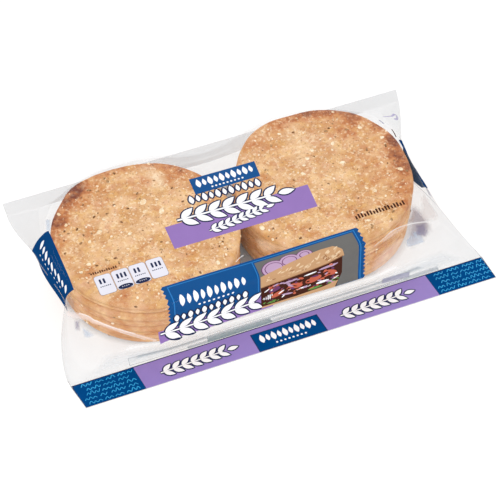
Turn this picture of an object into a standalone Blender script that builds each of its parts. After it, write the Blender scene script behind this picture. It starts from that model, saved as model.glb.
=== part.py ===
"""A clear film pack of flatbread rounds, lying flat: two short stacks side by side under one taut film.

The pack is one closed body. Its top is the film laid over both stacks, its sides run down to the two
pressed seals, and the seals stand out in front and behind as flat flaps whose ends make four ears.
Lengths are in metres, +X runs along the pair of stacks and +Z is up. The pack rests on z = 0.
"""
import math

import bmesh
import bpy

# ---- driving dimensions ----
MM = 0.001
ROUND_DIAMETER = 109 * MM
ROUND_THICKNESS = 9.5 * MM
ROUNDS_IN_STACK = 4
STACK_SPACING = 112 * MM            # between the two stack centres
FILM_CLEARANCE = 0.6 * MM           # film over the bread

FRONT_SEAL_Y = -66 * MM             # where the upper and lower film meet, in front
FRONT_FLAP = 18.5 * MM              # printed flap beyond that seal
FRONT_SEAL_Z = 6 * MM
FRONT_FLAP_RISE = 2 * MM            # the flap's free edge stands a little higher
FRONT_FLAP_TAPER = 3 * MM           # its left end is cut slightly aslant
BACK_SEAL_Y = 60 * MM
BACK_FLAP = 10 * MM
BACK_SEAL_Z = 13.5 * MM
BACK_FLAP_RISE = 0.5 * MM
FLAP_THICKNESS = 1.6 * MM

END_BULGE = 115.5 * MM              # half width of the pack at its waist
END_BULGE_Z = 20 * MM
WAIST_BACK_Y = 20 * MM              # the waist is narrow between these two
WAIST_FRONT_Y = -18 * MM
WAIST_NARROWING = 3 * MM            # from its back to its front
RIM_NOSE = 0.8 * MM                 # rounded outer edge along the two ends

# Each ear: how far its corner lies from the middle, and how early the side bends out to it.
EARS = {
    ("left", "front"): (124.6 * MM, 2.2),
    ("right", "front"): (128.5 * MM, 1.0),
    ("left", "back"): (120.6 * MM, 2.0),
    ("right", "back"): (131.4 * MM, 1.6),
}
WAIST_SOFTNESS = 0.10               # how gently the side leaves the waist, as a share of its way
RIGHT_BACK_FLAP_FLARE = 3.1 * MM    # the free corner of the back flap on the right

# Between the stacks the film dips and is pulled in, little in front and more at the back.
BRIDGE_HALF_WIDTH = 46 * MM
BRIDGE_SAG = {"front": 2 * MM, "back": 6 * MM}
BRIDGE_PULL = {"front": 1 * MM, "back": 5 * MM}
BRIDGE_EDGE = 6                     # the dip keeps to the film's edge: further in, it lies on the bread

BOTTOM_RADIUS = 50.5 * MM           # flat underside, a stadium round both stacks

# The wall's two bends, as shares of the way across and up: the foot above the rim, the keel below it.
WALLS = {
    "front": {"foot_out": 0.11, "foot_up": 0.05, "keel_in": 0.45, "keel_up": 0.35},
    "back": {"foot_out": 0.30, "foot_up": 0.12, "keel_in": 0.45, "keel_up": 0.35},
    "end": {"foot_out": 0.75, "foot_up": 0.55, "keel_in": 0.15, "keel_up": 0.30},
    "ear": {"foot_out": 0.50, "foot_up": 0.42, "keel_in": 0.50, "keel_up": 0.40},
}
# Round each end, in degrees from the pack's long axis: where the end wall and the long walls give way to the ears.
END_WALL_TO = 42
END_WALL_FADE = 30
LONG_WALL_FROM = 48
LONG_WALL_FADE = 40

# ---- mesh fineness ----
STRAIGHT_STEPS = 16
END_STEPS = 30
CORNER_STEPS = 4
SHOULDER_CUT = 5 * MM
FOOT_CUT = 6 * MM
CUT_SHARE = 0.45                    # a fillet takes at most this much of an edge
INNER_RINGS = (0.22, 0.50, 0.85)    # of the wall's radius
BOTTOM_RINGS = (0.5, 0.125)         # of the bottom's radius

HALVINGS = 40
TINY = 1e-7
SHARP_FROM = math.radians(40)

# ---- worked out ----
STACK_X = STACK_SPACING / 2
TOP_Z = ROUNDS_IN_STACK * ROUND_THICKNESS + FILM_CLEARANCE
WALL_RADIUS = ROUND_DIAMETER / 2 + FILM_CLEARANCE
PACK_MIDDLE_X = (EARS["right", "back"][0] + RIGHT_BACK_FLAP_FLARE - EARS["left", "front"][0]) / 2
PACK_MIDDLE_Y = (FRONT_SEAL_Y - FRONT_FLAP + BACK_SEAL_Y + BACK_FLAP) / 2

FILM_COLOUR = (0.86, 0.85, 0.84, 1.0)
FILM_ROUGHNESS = 0.2


def mix(a, b, t):
    return a + (b - a) * t


def mix_point(a, b, t):
    return tuple(mix(p, q, t) for p, q in zip(a, b))


def smooth(t):
    t = min(max(t, 0.0), 1.0)
    return t * t * (3 - 2 * t)


def side_line(side, y):
    """The outermost line of one end of the pack at depth y, as (x, z)."""
    sign = 1 if side == "right" else -1
    along_waist = smooth((y - WAIST_FRONT_Y) / (WAIST_BACK_Y - WAIST_FRONT_Y))
    waist = END_BULGE - WAIST_NARROWING * (1 - along_waist)
    if y > WAIST_BACK_Y:
        corner, bend = EARS[side, "back"]
        t = min((y - WAIST_BACK_Y) / (BACK_SEAL_Y - WAIST_BACK_Y), 1.0)
        seal_z = BACK_SEAL_Z
    elif y < WAIST_FRONT_Y:
        corner, bend = EARS[side, "front"]
        t = min((y - WAIST_FRONT_Y) / (FRONT_SEAL_Y - WAIST_FRONT_Y), 1.0)
        seal_z = FRONT_SEAL_Z
    else:
        return sign * waist, END_BULGE_Z
    height = mix(END_BULGE_Z, seal_z, smooth(t))
    t = t * t * (1 + WAIST_SOFTNESS) / (t + WAIST_SOFTNESS)
    return sign * mix(waist, corner, 1 - (1 - t) ** bend), height


def seal_point(x, part):
    """A point of the front or back seal line."""
    if part == "front":
        return x, FRONT_SEAL_Y, FRONT_SEAL_Z
    return x, BACK_SEAL_Y, BACK_SEAL_Z


def rim_point(side, angle):
    """Where the ray from a stack's centre meets the outline on which the two films meet."""
    sign = 1 if side == "right" else -1
    dx, dy = sign * math.cos(angle), math.sin(angle)
    part = "front" if dy < 0 else "back"
    seal_y = FRONT_SEAL_Y if part == "front" else BACK_SEAL_Y
    if dy:
        x = sign * STACK_X + dx * seal_y / dy
        if abs(x) <= EARS[side, part][0] + TINY:
            return seal_point(x, part)
    near, far = 0.0, EARS[side, part][0]
    for _ in range(HALVINGS):
        reach = (near + far) / 2
        x = sign * STACK_X + dx * reach
        if abs(x) < abs(side_line(side, dy * reach)[0]):
            near = reach
        else:
            far = reach
    x, z = side_line(side, dy * near)
    return x, dy * near, z


def corner_angle(side, part):
    """The direction of one ear, seen from its stack's centre."""
    seal_y = FRONT_SEAL_Y if part == "front" else BACK_SEAL_Y
    return math.atan2(seal_y, EARS[side, part][0] - STACK_X)


def stations():
    """Places round the pack, anticlockwise from the front left: (kind, side or part, value)."""
    found = []
    for k in range(STRAIGHT_STEPS):
        found.append(("straight", "front", mix(-STACK_X, STACK_X, k / STRAIGHT_STEPS)))
    found += end_stations("right", -1)
    for k in range(STRAIGHT_STEPS):
        found.append(("straight", "back", mix(STACK_X, -STACK_X, k / STRAIGHT_STEPS)))
    found += end_stations("left", 1)
    return found


def end_stations(side, first):
    """Directions round one end, with one station exactly on each ear."""
    angles = [first * math.radians(mix(90, -90, k / END_STEPS)) for k in range(END_STEPS)]
    for part in ("front", "back"):
        ear = corner_angle(side, part)
        nearest = min(range(1, END_STEPS), key=lambda k: abs(angles[k] - ear))
        angles[nearest] = ear
    return [("end", side, angle) for angle in angles]


def stadium_point(station, radius):
    kind, where, value = station
    if kind == "straight":
        return value, (-radius if where == "front" else radius)
    sign = 1 if where == "right" else -1
    return sign * (STACK_X + radius * math.cos(value)), radius * math.sin(value)


def bridge(x):
    """1 midway between the stacks, falling to 0 where the film lies on the bread."""
    if abs(x) >= BRIDGE_HALF_WIDTH:
        return 0.0
    return math.cos(math.pi * x / (2 * BRIDGE_HALF_WIDTH)) ** 2


def top_ring_point(station, share):
    """A point of the film's top, on the stadium that is share times as wide as the wall."""
    x, y = stadium_point(station, WALL_RADIUS * share)
    part = "front" if y < 0 else "back"
    dip = bridge(x) * share ** BRIDGE_EDGE
    return x, y - math.copysign(BRIDGE_PULL[part] * dip, y), TOP_Z - BRIDGE_SAG[part] * dip


def wall_shares(station):
    """How much of each kind of wall stands at one place. They add up to 1."""
    kind, where, angle = station
    if kind == "straight":
        return {where: 1.0}
    off_axis = math.degrees(abs(angle))
    long_wall = smooth((off_axis - LONG_WALL_FROM) / LONG_WALL_FADE)
    end = smooth((END_WALL_TO - off_axis) / END_WALL_FADE)
    return {"front" if angle < 0 else "back": long_wall, "end": end, "ear": 1 - long_wall - end}


def wall_form(shares, name):
    return sum(share * WALLS[wall][name] for wall, share in shares.items())


def fillet(before, corner, after, cut):
    """A rounded corner of a profile, as CORNER_STEPS + 1 points."""
    start = mix_point(corner, before, min(cut / math.dist(corner, before), CUT_SHARE))
    stop = mix_point(corner, after, min(cut / math.dist(corner, after), CUT_SHARE))
    points = []
    for k in range(CORNER_STEPS + 1):
        t = k / CORNER_STEPS
        points.append(mix_point(mix_point(start, corner, t), mix_point(corner, stop, t), t))
    return points


def profile(station):
    """The pack's wall at one place, from the middle of its top out to the rim and back in underneath."""
    kind, where, value = station
    shares = wall_shares(station)
    inner = [top_ring_point(station, share) for share in INNER_RINGS]
    shoulder = top_ring_point(station, 1.0)
    rim = seal_point(value, where) if kind == "straight" else rim_point(where, value)
    under = (*stadium_point(station, BOTTOM_RADIUS), 0.0)
    foot_xy = mix_point(shoulder[:2], rim[:2], wall_form(shares, "foot_out"))
    foot = (*foot_xy, mix(rim[2], shoulder[2], wall_form(shares, "foot_up")))
    keel_xy = mix_point(rim[:2], under[:2], wall_form(shares, "keel_in"))
    keel = (*keel_xy, rim[2] * wall_form(shares, "keel_up"))
    edge = flap_edge(station, rim)
    half = FLAP_THICKNESS / 2
    upper_rim, lower_rim = (*rim[:2], rim[2] + half), (*rim[:2], rim[2] - half)
    upper_edge, lower_edge = (*edge[:2], edge[2] + half), (*edge[:2], edge[2] - half)
    line = inner
    line += fillet(inner[-1], shoulder, foot, SHOULDER_CUT)
    line += fillet(shoulder, foot, upper_rim, FOOT_CUT)
    line += [upper_rim, upper_edge, lower_edge, lower_rim]
    line += fillet(lower_rim, keel, under, FOOT_CUT)
    line.append(under)
    line += [(*stadium_point(station, BOTTOM_RADIUS * share), 0.0) for share in BOTTOM_RINGS]
    return line


def flap_edge(station, rim):
    """The free edge beyond a place on the rim: the flaps in front and behind, a small nose at the ends."""
    x, y, z = rim
    side = "right" if x > 0 else "left"
    if abs(y - FRONT_SEAL_Y) < TINY:
        corner = EARS[side, "front"][0]
        taper = FRONT_FLAP_TAPER if side == "left" else 0.0
        return x * (corner - taper) / corner, y - FRONT_FLAP, z + FRONT_FLAP_RISE
    if abs(y - BACK_SEAL_Y) < TINY:
        corner = EARS[side, "back"][0]
        flare = RIGHT_BACK_FLAP_FLARE if side == "right" else 0.0
        return x * (corner + flare) / corner, y + BACK_FLAP, z + BACK_FLAP_RISE
    return x + math.copysign(RIM_NOSE, x), y, z


def close_middle(bm, ring):
    """Fills a long narrow ring with strips, front to back. The ring starts in the middle of one end."""
    bm.faces.new((ring[0], ring[1], ring[-1]))
    for k in range(1, len(ring) // 2 - 1):
        bm.faces.new((ring[k], ring[k + 1], ring[-k - 1], ring[-k]))
    middle = len(ring) // 2
    bm.faces.new((ring[middle - 1], ring[middle], ring[middle + 1]))


def make_bag(material):
    bm = bmesh.new()
    places = stations()
    shift = (-PACK_MIDDLE_X, -PACK_MIDDLE_Y, 0.0)
    rows = []
    for place in places:
        rows.append([bm.verts.new([p + s for p, s in zip(point, shift)]) for point in profile(place)])
    count = len(rows)
    for k in range(count):
        here, after = rows[k], rows[(k + 1) % count]
        for j in range(len(here) - 1):
            bm.faces.new((here[j], here[j + 1], after[j + 1], after[j]))
    start = STRAIGHT_STEPS + END_STEPS // 2     # the middle of the right end
    turned = rows[start:] + rows[:start]
    close_middle(bm, [row[0] for row in turned])
    close_middle(bm, [row[-1] for row in turned])
    bmesh.ops.triangulate(bm, faces=bm.faces[:])
    bmesh.ops.recalc_face_normals(bm, faces=bm.faces[:])
    mesh = bpy.data.meshes.new("bag")
    bm.to_mesh(mesh)
    bm.free()
    mesh.shade_smooth()
    mesh.set_sharp_from_angle(angle=SHARP_FROM)
    mesh.materials.append(material)
    bag = bpy.data.objects.new("bag", mesh)
    bpy.context.scene.collection.objects.link(bag)
    return bag


def film_material():
    material = bpy.data.materials.new("film")
    material.use_nodes = True
    shader = material.node_tree.nodes["Principled BSDF"]
    shader.inputs["Base Color"].default_value = FILM_COLOUR
    shader.inputs["Roughness"].default_value = FILM_ROUGHNESS
    shader.inputs["Metallic"].default_value = 0.0
    return material


def main():
    for old in list(bpy.data.objects):
        bpy.data.objects.remove(old, do_unlink=True)
    make_bag(film_material())


main()
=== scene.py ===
# %% [markdown]
# # A clear film pack of flatbread rounds
# The real thing is a bag of thin, clear film drawn over two short stacks of flatbread. The film is pressed
# flat along the back and along the front, where a printed band runs, and labels are printed on the film.
# Everything is made in metres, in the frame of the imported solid, whose origin is the middle of the pack on
# the surface it lies on. +X runs along the pair of stacks, +Y points away from the printed band.

# %% Load the frame
import math
import random

import bmesh
import bpy
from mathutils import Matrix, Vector, geometry, noise
from mathutils.bvhtree import BVHTree


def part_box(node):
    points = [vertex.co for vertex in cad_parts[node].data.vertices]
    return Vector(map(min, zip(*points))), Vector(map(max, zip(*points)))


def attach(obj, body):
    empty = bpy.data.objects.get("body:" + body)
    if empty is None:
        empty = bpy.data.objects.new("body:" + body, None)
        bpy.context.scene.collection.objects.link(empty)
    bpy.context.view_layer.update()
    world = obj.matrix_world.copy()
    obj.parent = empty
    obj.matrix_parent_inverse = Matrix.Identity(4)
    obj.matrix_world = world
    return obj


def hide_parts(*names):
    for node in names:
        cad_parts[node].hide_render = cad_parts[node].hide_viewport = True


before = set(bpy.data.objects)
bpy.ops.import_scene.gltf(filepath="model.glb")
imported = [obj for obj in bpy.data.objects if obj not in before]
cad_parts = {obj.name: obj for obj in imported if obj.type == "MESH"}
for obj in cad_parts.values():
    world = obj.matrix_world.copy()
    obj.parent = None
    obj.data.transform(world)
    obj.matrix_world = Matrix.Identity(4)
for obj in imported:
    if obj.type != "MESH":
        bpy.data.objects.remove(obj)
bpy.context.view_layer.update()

MM = 0.001
scene = bpy.context.scene

# %% [markdown]
# ## Camera
# The pack was photographed from above and a little from its left with a long lens, so its edges stay almost
# parallel. The place of the camera is worked out from three things: where it looks, from which direction,
# and how far away it stands.

# %% Camera
CAMERA_TARGET = Vector((2.1, 2.4, -1.7)) * MM
CAMERA_AZIMUTH = math.radians(-21.77)
CAMERA_ELEVATION = math.radians(50.0)
CAMERA_DISTANCE = 1219.1 * MM
CAMERA_LENS = 148.7                 # mm, on a sensor 36 mm wide


def make_camera():
    back = Vector((
        math.sin(CAMERA_AZIMUTH) * math.cos(CAMERA_ELEVATION),
        -math.cos(CAMERA_AZIMUTH) * math.cos(CAMERA_ELEVATION),
        math.sin(CAMERA_ELEVATION),
    ))
    data = bpy.data.cameras.new("camera")
    data.lens = CAMERA_LENS
    data.sensor_width = 36
    data.clip_start = 0.05
    data.clip_end = 20
    camera = bpy.data.objects.new("camera", data)
    camera.location = CAMERA_TARGET + back * CAMERA_DISTANCE
    camera.rotation_euler = back.to_track_quat("Z", "Y").to_euler()
    scene.collection.objects.link(camera)
    scene.camera = camera
    return camera


camera = make_camera()
print("camera at", [round(c, 3) for c in camera.location])

# %% [markdown]
# ## Light
# The light is a bright, even white room with three large soft lamps in it, as for a shop picture: one
# overhead, one in front, and a strip behind that makes the film shine. Large lamps give soft shadows. Colours
# are shown as they are, without a film-like curve, because the floor is meant to come out white.

# %% Light and colour
WORLD_STRENGTH = 1.0
# name, place, the point it is aimed at, width and height (all in metres), and power in watts
LAMPS = (
    ("overhead softbox", (-0.35, -0.1, 1.3), (0, 0, 0), (0.9, 0.9), 2.4),
    ("front softbox", (-0.5, -1.2, 0.5), (0, 0, 0.02), (0.7, 0.5), 3.6),
    ("back strip", (0.35, 0.95, 0.75), (0, 0, 0.02), (0.9, 0.25), 1.5),
)
scene.view_settings.view_transform = "Standard"


def make_world():
    world = bpy.data.worlds.new("white room")
    world.use_nodes = True
    background = world.node_tree.nodes["Background"]
    background.inputs["Color"].default_value = (1.0, 1.0, 1.0, 1.0)
    background.inputs["Strength"].default_value = WORLD_STRENGTH
    scene.world = world


def make_lamp(name, place, aim, size, power):
    data = bpy.data.lights.new(name, "AREA")
    data.shape = "RECTANGLE"
    data.size, data.size_y = size
    data.energy = power
    lamp = bpy.data.objects.new(name, data)
    lamp.location = place
    lamp.rotation_euler = (Vector(place) - Vector(aim)).to_track_quat("Z", "Y").to_euler()
    scene.collection.objects.link(lamp)


make_world()
for lamp in LAMPS:
    make_lamp(*lamp)
print("lamps:", [name for name, *_ in LAMPS])

# %% [markdown]
# ## Helpers for node trees
# A few short helpers keep the trees readable. One adds a node and sets its fields and inputs. Another runs
# a Geometry Nodes tree on a piece and keeps the result as a plain mesh, because instances and live
# modifiers would be lost later. A modifier's input is found by the identifier of its socket.

# %% Node helpers
def add_node(tree, kind, inputs=None, **fields):
    """A new node. An input may be a value or another node's output."""
    node = tree.nodes.new(kind)
    for name, value in fields.items():
        setattr(node, name, value)
    for key, value in (inputs or {}).items():
        if isinstance(value, bpy.types.NodeSocket):
            tree.links.new(value, node.inputs[key])
        else:
            node.inputs[key].default_value = value
    return node


def math_node(tree, operation, a, b):
    return add_node(tree, "ShaderNodeMath", {0: a, 1: b}, operation=operation).outputs[0]


def times(tree, a, b):
    return math_node(tree, "MULTIPLY", a, b)


def vector_math(tree, operation, *inputs):
    return add_node(tree, "ShaderNodeVectorMath", dict(enumerate(inputs)), operation=operation).outputs[0]


def colour_mix(tree, share, first, second):
    """The first colour where share is 0, the second where it is 1."""
    return add_node(tree, "ShaderNodeMix", {0: share, 6: first, 7: second}, data_type="RGBA").outputs[2]


def new_geometry_tree(name, inputs):
    """An empty tree with named inputs. Each input is (name, socket type, default)."""
    tree = bpy.data.node_groups.new(name, "GeometryNodeTree")
    tree.interface.new_socket("Geometry", in_out="INPUT", socket_type="NodeSocketGeometry")
    for label, kind, value in inputs:
        socket = tree.interface.new_socket(label, in_out="INPUT", socket_type=kind)
        if value is not None:
            socket.default_value = value
    tree.interface.new_socket("Geometry", in_out="OUTPUT", socket_type="NodeSocketGeometry")
    return tree, tree.nodes.new("NodeGroupInput"), tree.nodes.new("NodeGroupOutput")


def named_attribute(tree, name):
    """A value that a mesh keeps on its points, read in a Geometry Nodes tree."""
    return add_node(tree, "GeometryNodeInputNamedAttribute", {"Name": name}, data_type="FLOAT").outputs[0]


def point_value(tree, name):
    """The same, read in a material."""
    return add_node(tree, "ShaderNodeAttribute", attribute_name=name).outputs["Fac"]


def new_material(name):
    """A material with its tree, its main shader and the place on the object."""
    material = bpy.data.materials.new(name)
    material.use_nodes = True
    tree = material.node_tree
    place = tree.nodes.new("ShaderNodeTexCoord").outputs["Object"]
    return material, tree, tree.nodes["Principled BSDF"], place


def add_piece(name, mesh):
    piece = bpy.data.objects.new(name, mesh)
    scene.collection.objects.link(piece)
    return piece


def run_tree(source_mesh, tree, name, values):
    """Runs the tree on a mesh and returns a finished piece with a plain mesh."""
    carrier = add_piece(name, source_mesh)
    modifier = carrier.modifiers.new(tree.name, "NODES")
    modifier.node_group = tree
    for item in tree.interface.items_tree:
        if item.item_type == "SOCKET" and item.in_out == "INPUT" and item.name in values:
            modifier[item.identifier] = values[item.name]
    graph = bpy.context.evaluated_depsgraph_get()
    result = bpy.data.meshes.new_from_object(carrier.evaluated_get(graph), depsgraph=graph)
    carrier.modifiers.remove(modifier)
    carrier.data = result
    result.name = name
    return carrier


# %% [markdown]
# ## Patches of noise
# The crust, the grains and the inks all change from one colour to another in soft patches. So this is made
# once, as a shader node group with named inputs. It gives only a share from 0 to 1, and every material
# picks its own colours with it.

# %% A node group for patches of noise
def make_patches_group():
    """Soft patches. Share is 0 where the noise is Low or less, and 1 where it is High or more."""
    group = bpy.data.node_groups.new("patches", "ShaderNodeTree")
    group.interface.new_socket("Place", in_out="INPUT", socket_type="NodeSocketVector")
    for label in ("Size", "Detail", "Low", "High"):
        group.interface.new_socket(label, in_out="INPUT", socket_type="NodeSocketFloat")
    group.interface.new_socket("Share", in_out="OUTPUT", socket_type="NodeSocketFloat")
    start = group.nodes.new("NodeGroupInput").outputs
    scale = math_node(group, "DIVIDE", 1.0, start["Size"])
    texture = add_node(group, "ShaderNodeTexNoise", {
        "Vector": start["Place"], "Scale": scale, "Detail": start["Detail"],
    })
    share = add_node(group, "ShaderNodeMapRange", {0: texture.outputs[0], 1: start["Low"], 2: start["High"]})
    end = group.nodes.new("NodeGroupOutput")
    group.links.new(share.outputs[0], end.inputs["Share"])
    return group


PATCHES = make_patches_group()


def patches(tree, place, size, detail, low, high):
    """The group in a material, with the material's own values. The size is in metres."""
    values = {"Place": place, "Size": size, "Detail": detail, "Low": low, "High": high}
    return add_node(tree, "ShaderNodeGroup", values, node_tree=PATCHES).outputs["Share"]


print("group:", PATCHES.name, [item.name for item in PATCHES.interface.items_tree])

# %% [markdown]
# ## The floor
# The floor is plain and pale. It also glows a little by itself, which is painted light that keeps the pack's
# shadows pale. Under the bread it doesn't glow, or its light would come up between the rounds. The dark
# patch is every place nearer than a set distance to the line between the two stacks.

# %% Floor
FLOOR_SIZE = 6.0
FLOOR_TOP = -0.3 * MM
# FLOOR_GLOW is painted light: the floor gives it off though it is no lamp.
FLOOR_WHITE, FLOOR_GLOW = 0.42, 0.57
GLOW_FROM, GLOW_FULL = 45 * MM, 54 * MM    # from the line between the stacks
STACK_X = 56 * MM                          # half the way from one stack to the other
STACKS_MIDDLE = Vector((-4.95, 7.25, 0.0)) * MM      # midway between the stacks, in the frame of the pack


def floor_material():
    material, tree, shader, place = new_material("floor_white")
    shader.inputs["Base Color"].default_value = (FLOOR_WHITE, FLOOR_WHITE, FLOOR_WHITE, 1.0)
    shader.inputs["Roughness"].default_value = 0.9
    shader.inputs["Emission Color"].default_value = (1.0, 1.0, 1.0, 1.0)
    centred = vector_math(tree, "SUBTRACT", place, STACKS_MIDDLE)
    folded = vector_math(tree, "ABSOLUTE", centred)
    beyond = vector_math(tree, "SUBTRACT", folded, (STACK_X, 0, 0))
    outside = vector_math(tree, "MAXIMUM", beyond, (0, 0, 0))
    flat = vector_math(tree, "MULTIPLY", outside, (1, 1, 0))
    distance = add_node(tree, "ShaderNodeVectorMath", {0: flat}, operation="LENGTH").outputs["Value"]
    glow = add_node(tree, "ShaderNodeMapRange", {
        0: distance, 1: GLOW_FROM, 2: GLOW_FULL, 3: 0.0, 4: FLOOR_GLOW,
    })
    tree.links.new(glow.outputs[0], shader.inputs["Emission Strength"])
    return material


def make_floor():
    half = FLOOR_SIZE / 2
    mesh = bpy.data.meshes.new("floor")
    corners = [(x, y, FLOOR_TOP) for x, y in ((-half, -half), (half, -half), (half, half), (-half, half))]
    mesh.from_pydata(corners, [], [(0, 1, 2, 3)])
    mesh.materials.append(floor_material())
    add_piece("floor", mesh)


make_floor()
print("floor:", FLOOR_SIZE, "m wide")

# %% [markdown]
# ## The rounds
# Each round is a thin baked disc with a soft rounded edge, already cut through at half its thickness, so a
# fine slit runs round its side. The discs aren't true circles: the dough spread unevenly, so the two top
# rounds get a radius for each of twenty-four directions and a smooth line through them. The flat faces are
# a square grid pressed into a disc, which keeps the little faces equally large everywhere. The side is a
# stack of rings between them.

# %% Sizes of the stacks
STACK_CENTRES = {"left": Vector((-56, -1.3, 0)) * MM, "right": Vector((56, 1.3, 0)) * MM}
EDGE_ROUNDING = 3.6 * MM            # how far in the rounded edge starts
EDGE_OUT, EDGE_UP = 0.5, 0.6        # powers that make the rounded edge fuller than a circle: 1 is a circle
SLIT_DEPTH = 0.7 * MM
SLIT_LEAST = 0.45                   # the slit's depth wanders about this share of it
LOWEST = 0.5 * MM                   # the film is under the lowest round

# Thickness of each round in mm, from the lowest up.
THICKNESSES = {"left": (8.3, 8.9, 12.0, 8.0), "right": (10.6, 8.8, 9.0, 8.8)}
# Radii of the top rounds in mm, every 15 degrees from +X, anticlockwise.
TOP_OUTLINES = {
    "left": (
        54.6, 54.8, 55.0, 55.1, 55.0, 54.2, 53.9, 54.8, 56.2, 54.7, 54.6, 53.4,
        52.6, 53.0, 53.3, 53.2, 53.2, 53.3, 53.2, 53.3, 53.4, 53.8, 54.4, 54.6,
    ),
    "right": (
        51.7, 53.0, 53.4, 54.4, 54.1, 53.8, 53.0, 54.4, 54.6, 53.2, 52.3, 53.0,
        54.0, 55.6, 57.0, 56.4, 54.8, 53.6, 53.0, 52.9, 52.8, 52.6, 52.5, 51.8,
    ),
}
# The rounds under them, from the lowest up: radius, then how far the round is shifted along X and Y, in mm.
LOWER_ROUNDS = {
    "left": ((52.0, 1.8, 0.4), (53.4, 0.8, 0.2), (53.6, 0.4, -0.2)),
    "right": ((51.8, -1.4, -0.8), (52.9, -1.1, 0.0), (52.9, -1.0, -0.2)),
}


def spline(before, start, stop, after, t):
    """A smooth way from start to stop, with regard to the values before and after them."""
    bend = 2 * before - 5 * start + 4 * stop - after
    twist = -before + 3 * start - 3 * stop + after
    return 0.5 * (2 * start + (stop - before) * t + bend * t ** 2 + twist * t ** 3)


def outline_radius(radii, angle):
    """A smooth closed line through evenly spread radii."""
    count = len(radii)
    place = (angle / math.tau * count) % count
    k = int(place)
    return spline(*(radii[(k + j) % count] for j in (-1, 0, 1, 2)), place - k)


def disc_from_square(u, v):
    """Moves a point of the square -1 to 1 onto the disc of radius 1."""
    if u == 0 and v == 0:
        return 0.0, 0.0
    if abs(u) > abs(v):
        return u * math.cos(math.pi / 4 * v / u), u * math.sin(math.pi / 4 * v / u)
    return v * math.sin(math.pi / 4 * u / v), v * math.cos(math.pi / 4 * u / v)


def square_border(cells):
    """The grid places round the square's border, anticlockwise."""
    steps = [(i, 0) for i in range(cells)] + [(cells, j) for j in range(cells)]
    steps += [(cells - i, cells) for i in range(cells)] + [(0, cells - j) for j in range(cells)]
    return steps


# Places down the rounded edge, in degrees: 90 is the top face, 0 the slit, and -90 the lower face.
SIDE_ANGLES = (72, 54, 38, 24, 13, 5, 1, 0, -1, -5, -13, -24, -38, -54, -72)


def make_round_mesh(name, centre, bottom_z, thickness, radii, cells, toast, flour):
    """One closed disc. `toast` and `flour` give how brown or pale the crust is at (x, y) from its centre."""
    bm = bmesh.new()
    rim_layer = bm.verts.layers.float.new("rim")
    toast_layer = bm.verts.layers.float.new("toast")
    flour_layer = bm.verts.layers.float.new("flour")
    middle_z = bottom_z + thickness / 2

    def put(place, rim_angle):
        """A point of the surface, from its place on the square grid and its angle on the rounded edge."""
        direction_x, direction_y = disc_from_square(*(2 * k / cells - 1 for k in place))
        reach = math.hypot(direction_x, direction_y)
        angle = math.atan2(direction_y, direction_x)
        radius = outline_radius(radii, angle) * MM
        lean = math.radians(rim_angle)
        out = radius - EDGE_ROUNDING + EDGE_ROUNDING * max(math.cos(lean), 0.0) ** EDGE_OUT
        if rim_angle == 0:
            wander = noise.noise((angle * 5, middle_z * 400, centre.x * 30))
            out -= SLIT_DEPTH * (SLIT_LEAST + (1 - SLIT_LEAST) * wander)
        x, y = direction_x * out, direction_y * out
        rise = math.copysign(abs(math.sin(lean)) ** EDGE_UP, lean) * thickness / 2
        vert = bm.verts.new((centre.x + x, centre.y + y, middle_z + rise))
        vert[rim_layer] = reach if abs(rim_angle) == 90 else 2 - abs(rim_angle) / 90
        vert[toast_layer] = toast(x, y)
        vert[flour_layer] = flour(x, y)
        return vert

    places = [(i, j) for i in range(cells + 1) for j in range(cells + 1)]
    top, bottom = ({place: put(place, rim_angle) for place in places} for rim_angle in (90, -90))
    border = square_border(cells)
    rings = [[top[place] for place in border]]
    for rim_angle in SIDE_ANGLES:
        rings.append([put(place, rim_angle) for place in border])
    rings.append([bottom[place] for place in border])
    for i in range(cells):
        for j in range(cells):
            for grid, order in ((top, 1), (bottom, -1)):
                corners = [grid[i, j], grid[i + 1, j], grid[i + 1, j + 1], grid[i, j + 1]]
                bm.faces.new(corners[::order])
    for upper, lower in zip(rings, rings[1:]):
        for k in range(len(border)):
            after = (k + 1) % len(border)
            bm.faces.new((upper[k], lower[k], lower[after], upper[after]))
    mesh = bpy.data.meshes.new(name)
    bm.to_mesh(mesh)
    bm.free()
    mesh.shade_smooth()
    return mesh


print("heights of the stacks:", {side: round(sum(levels), 1) for side, levels in THICKNESSES.items()}, "mm")

# %% [markdown]
# ## The relief of the crust
# A baked crust is never flat: it has broad swells, blisters as large as a pea, and a fine grain. A Geometry
# Nodes tree moves every point along the surface's normal by three sizes of noise. The heights and sizes are
# its inputs, and the sides get a smaller share, because they rose against each other and stayed smoother.

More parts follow.
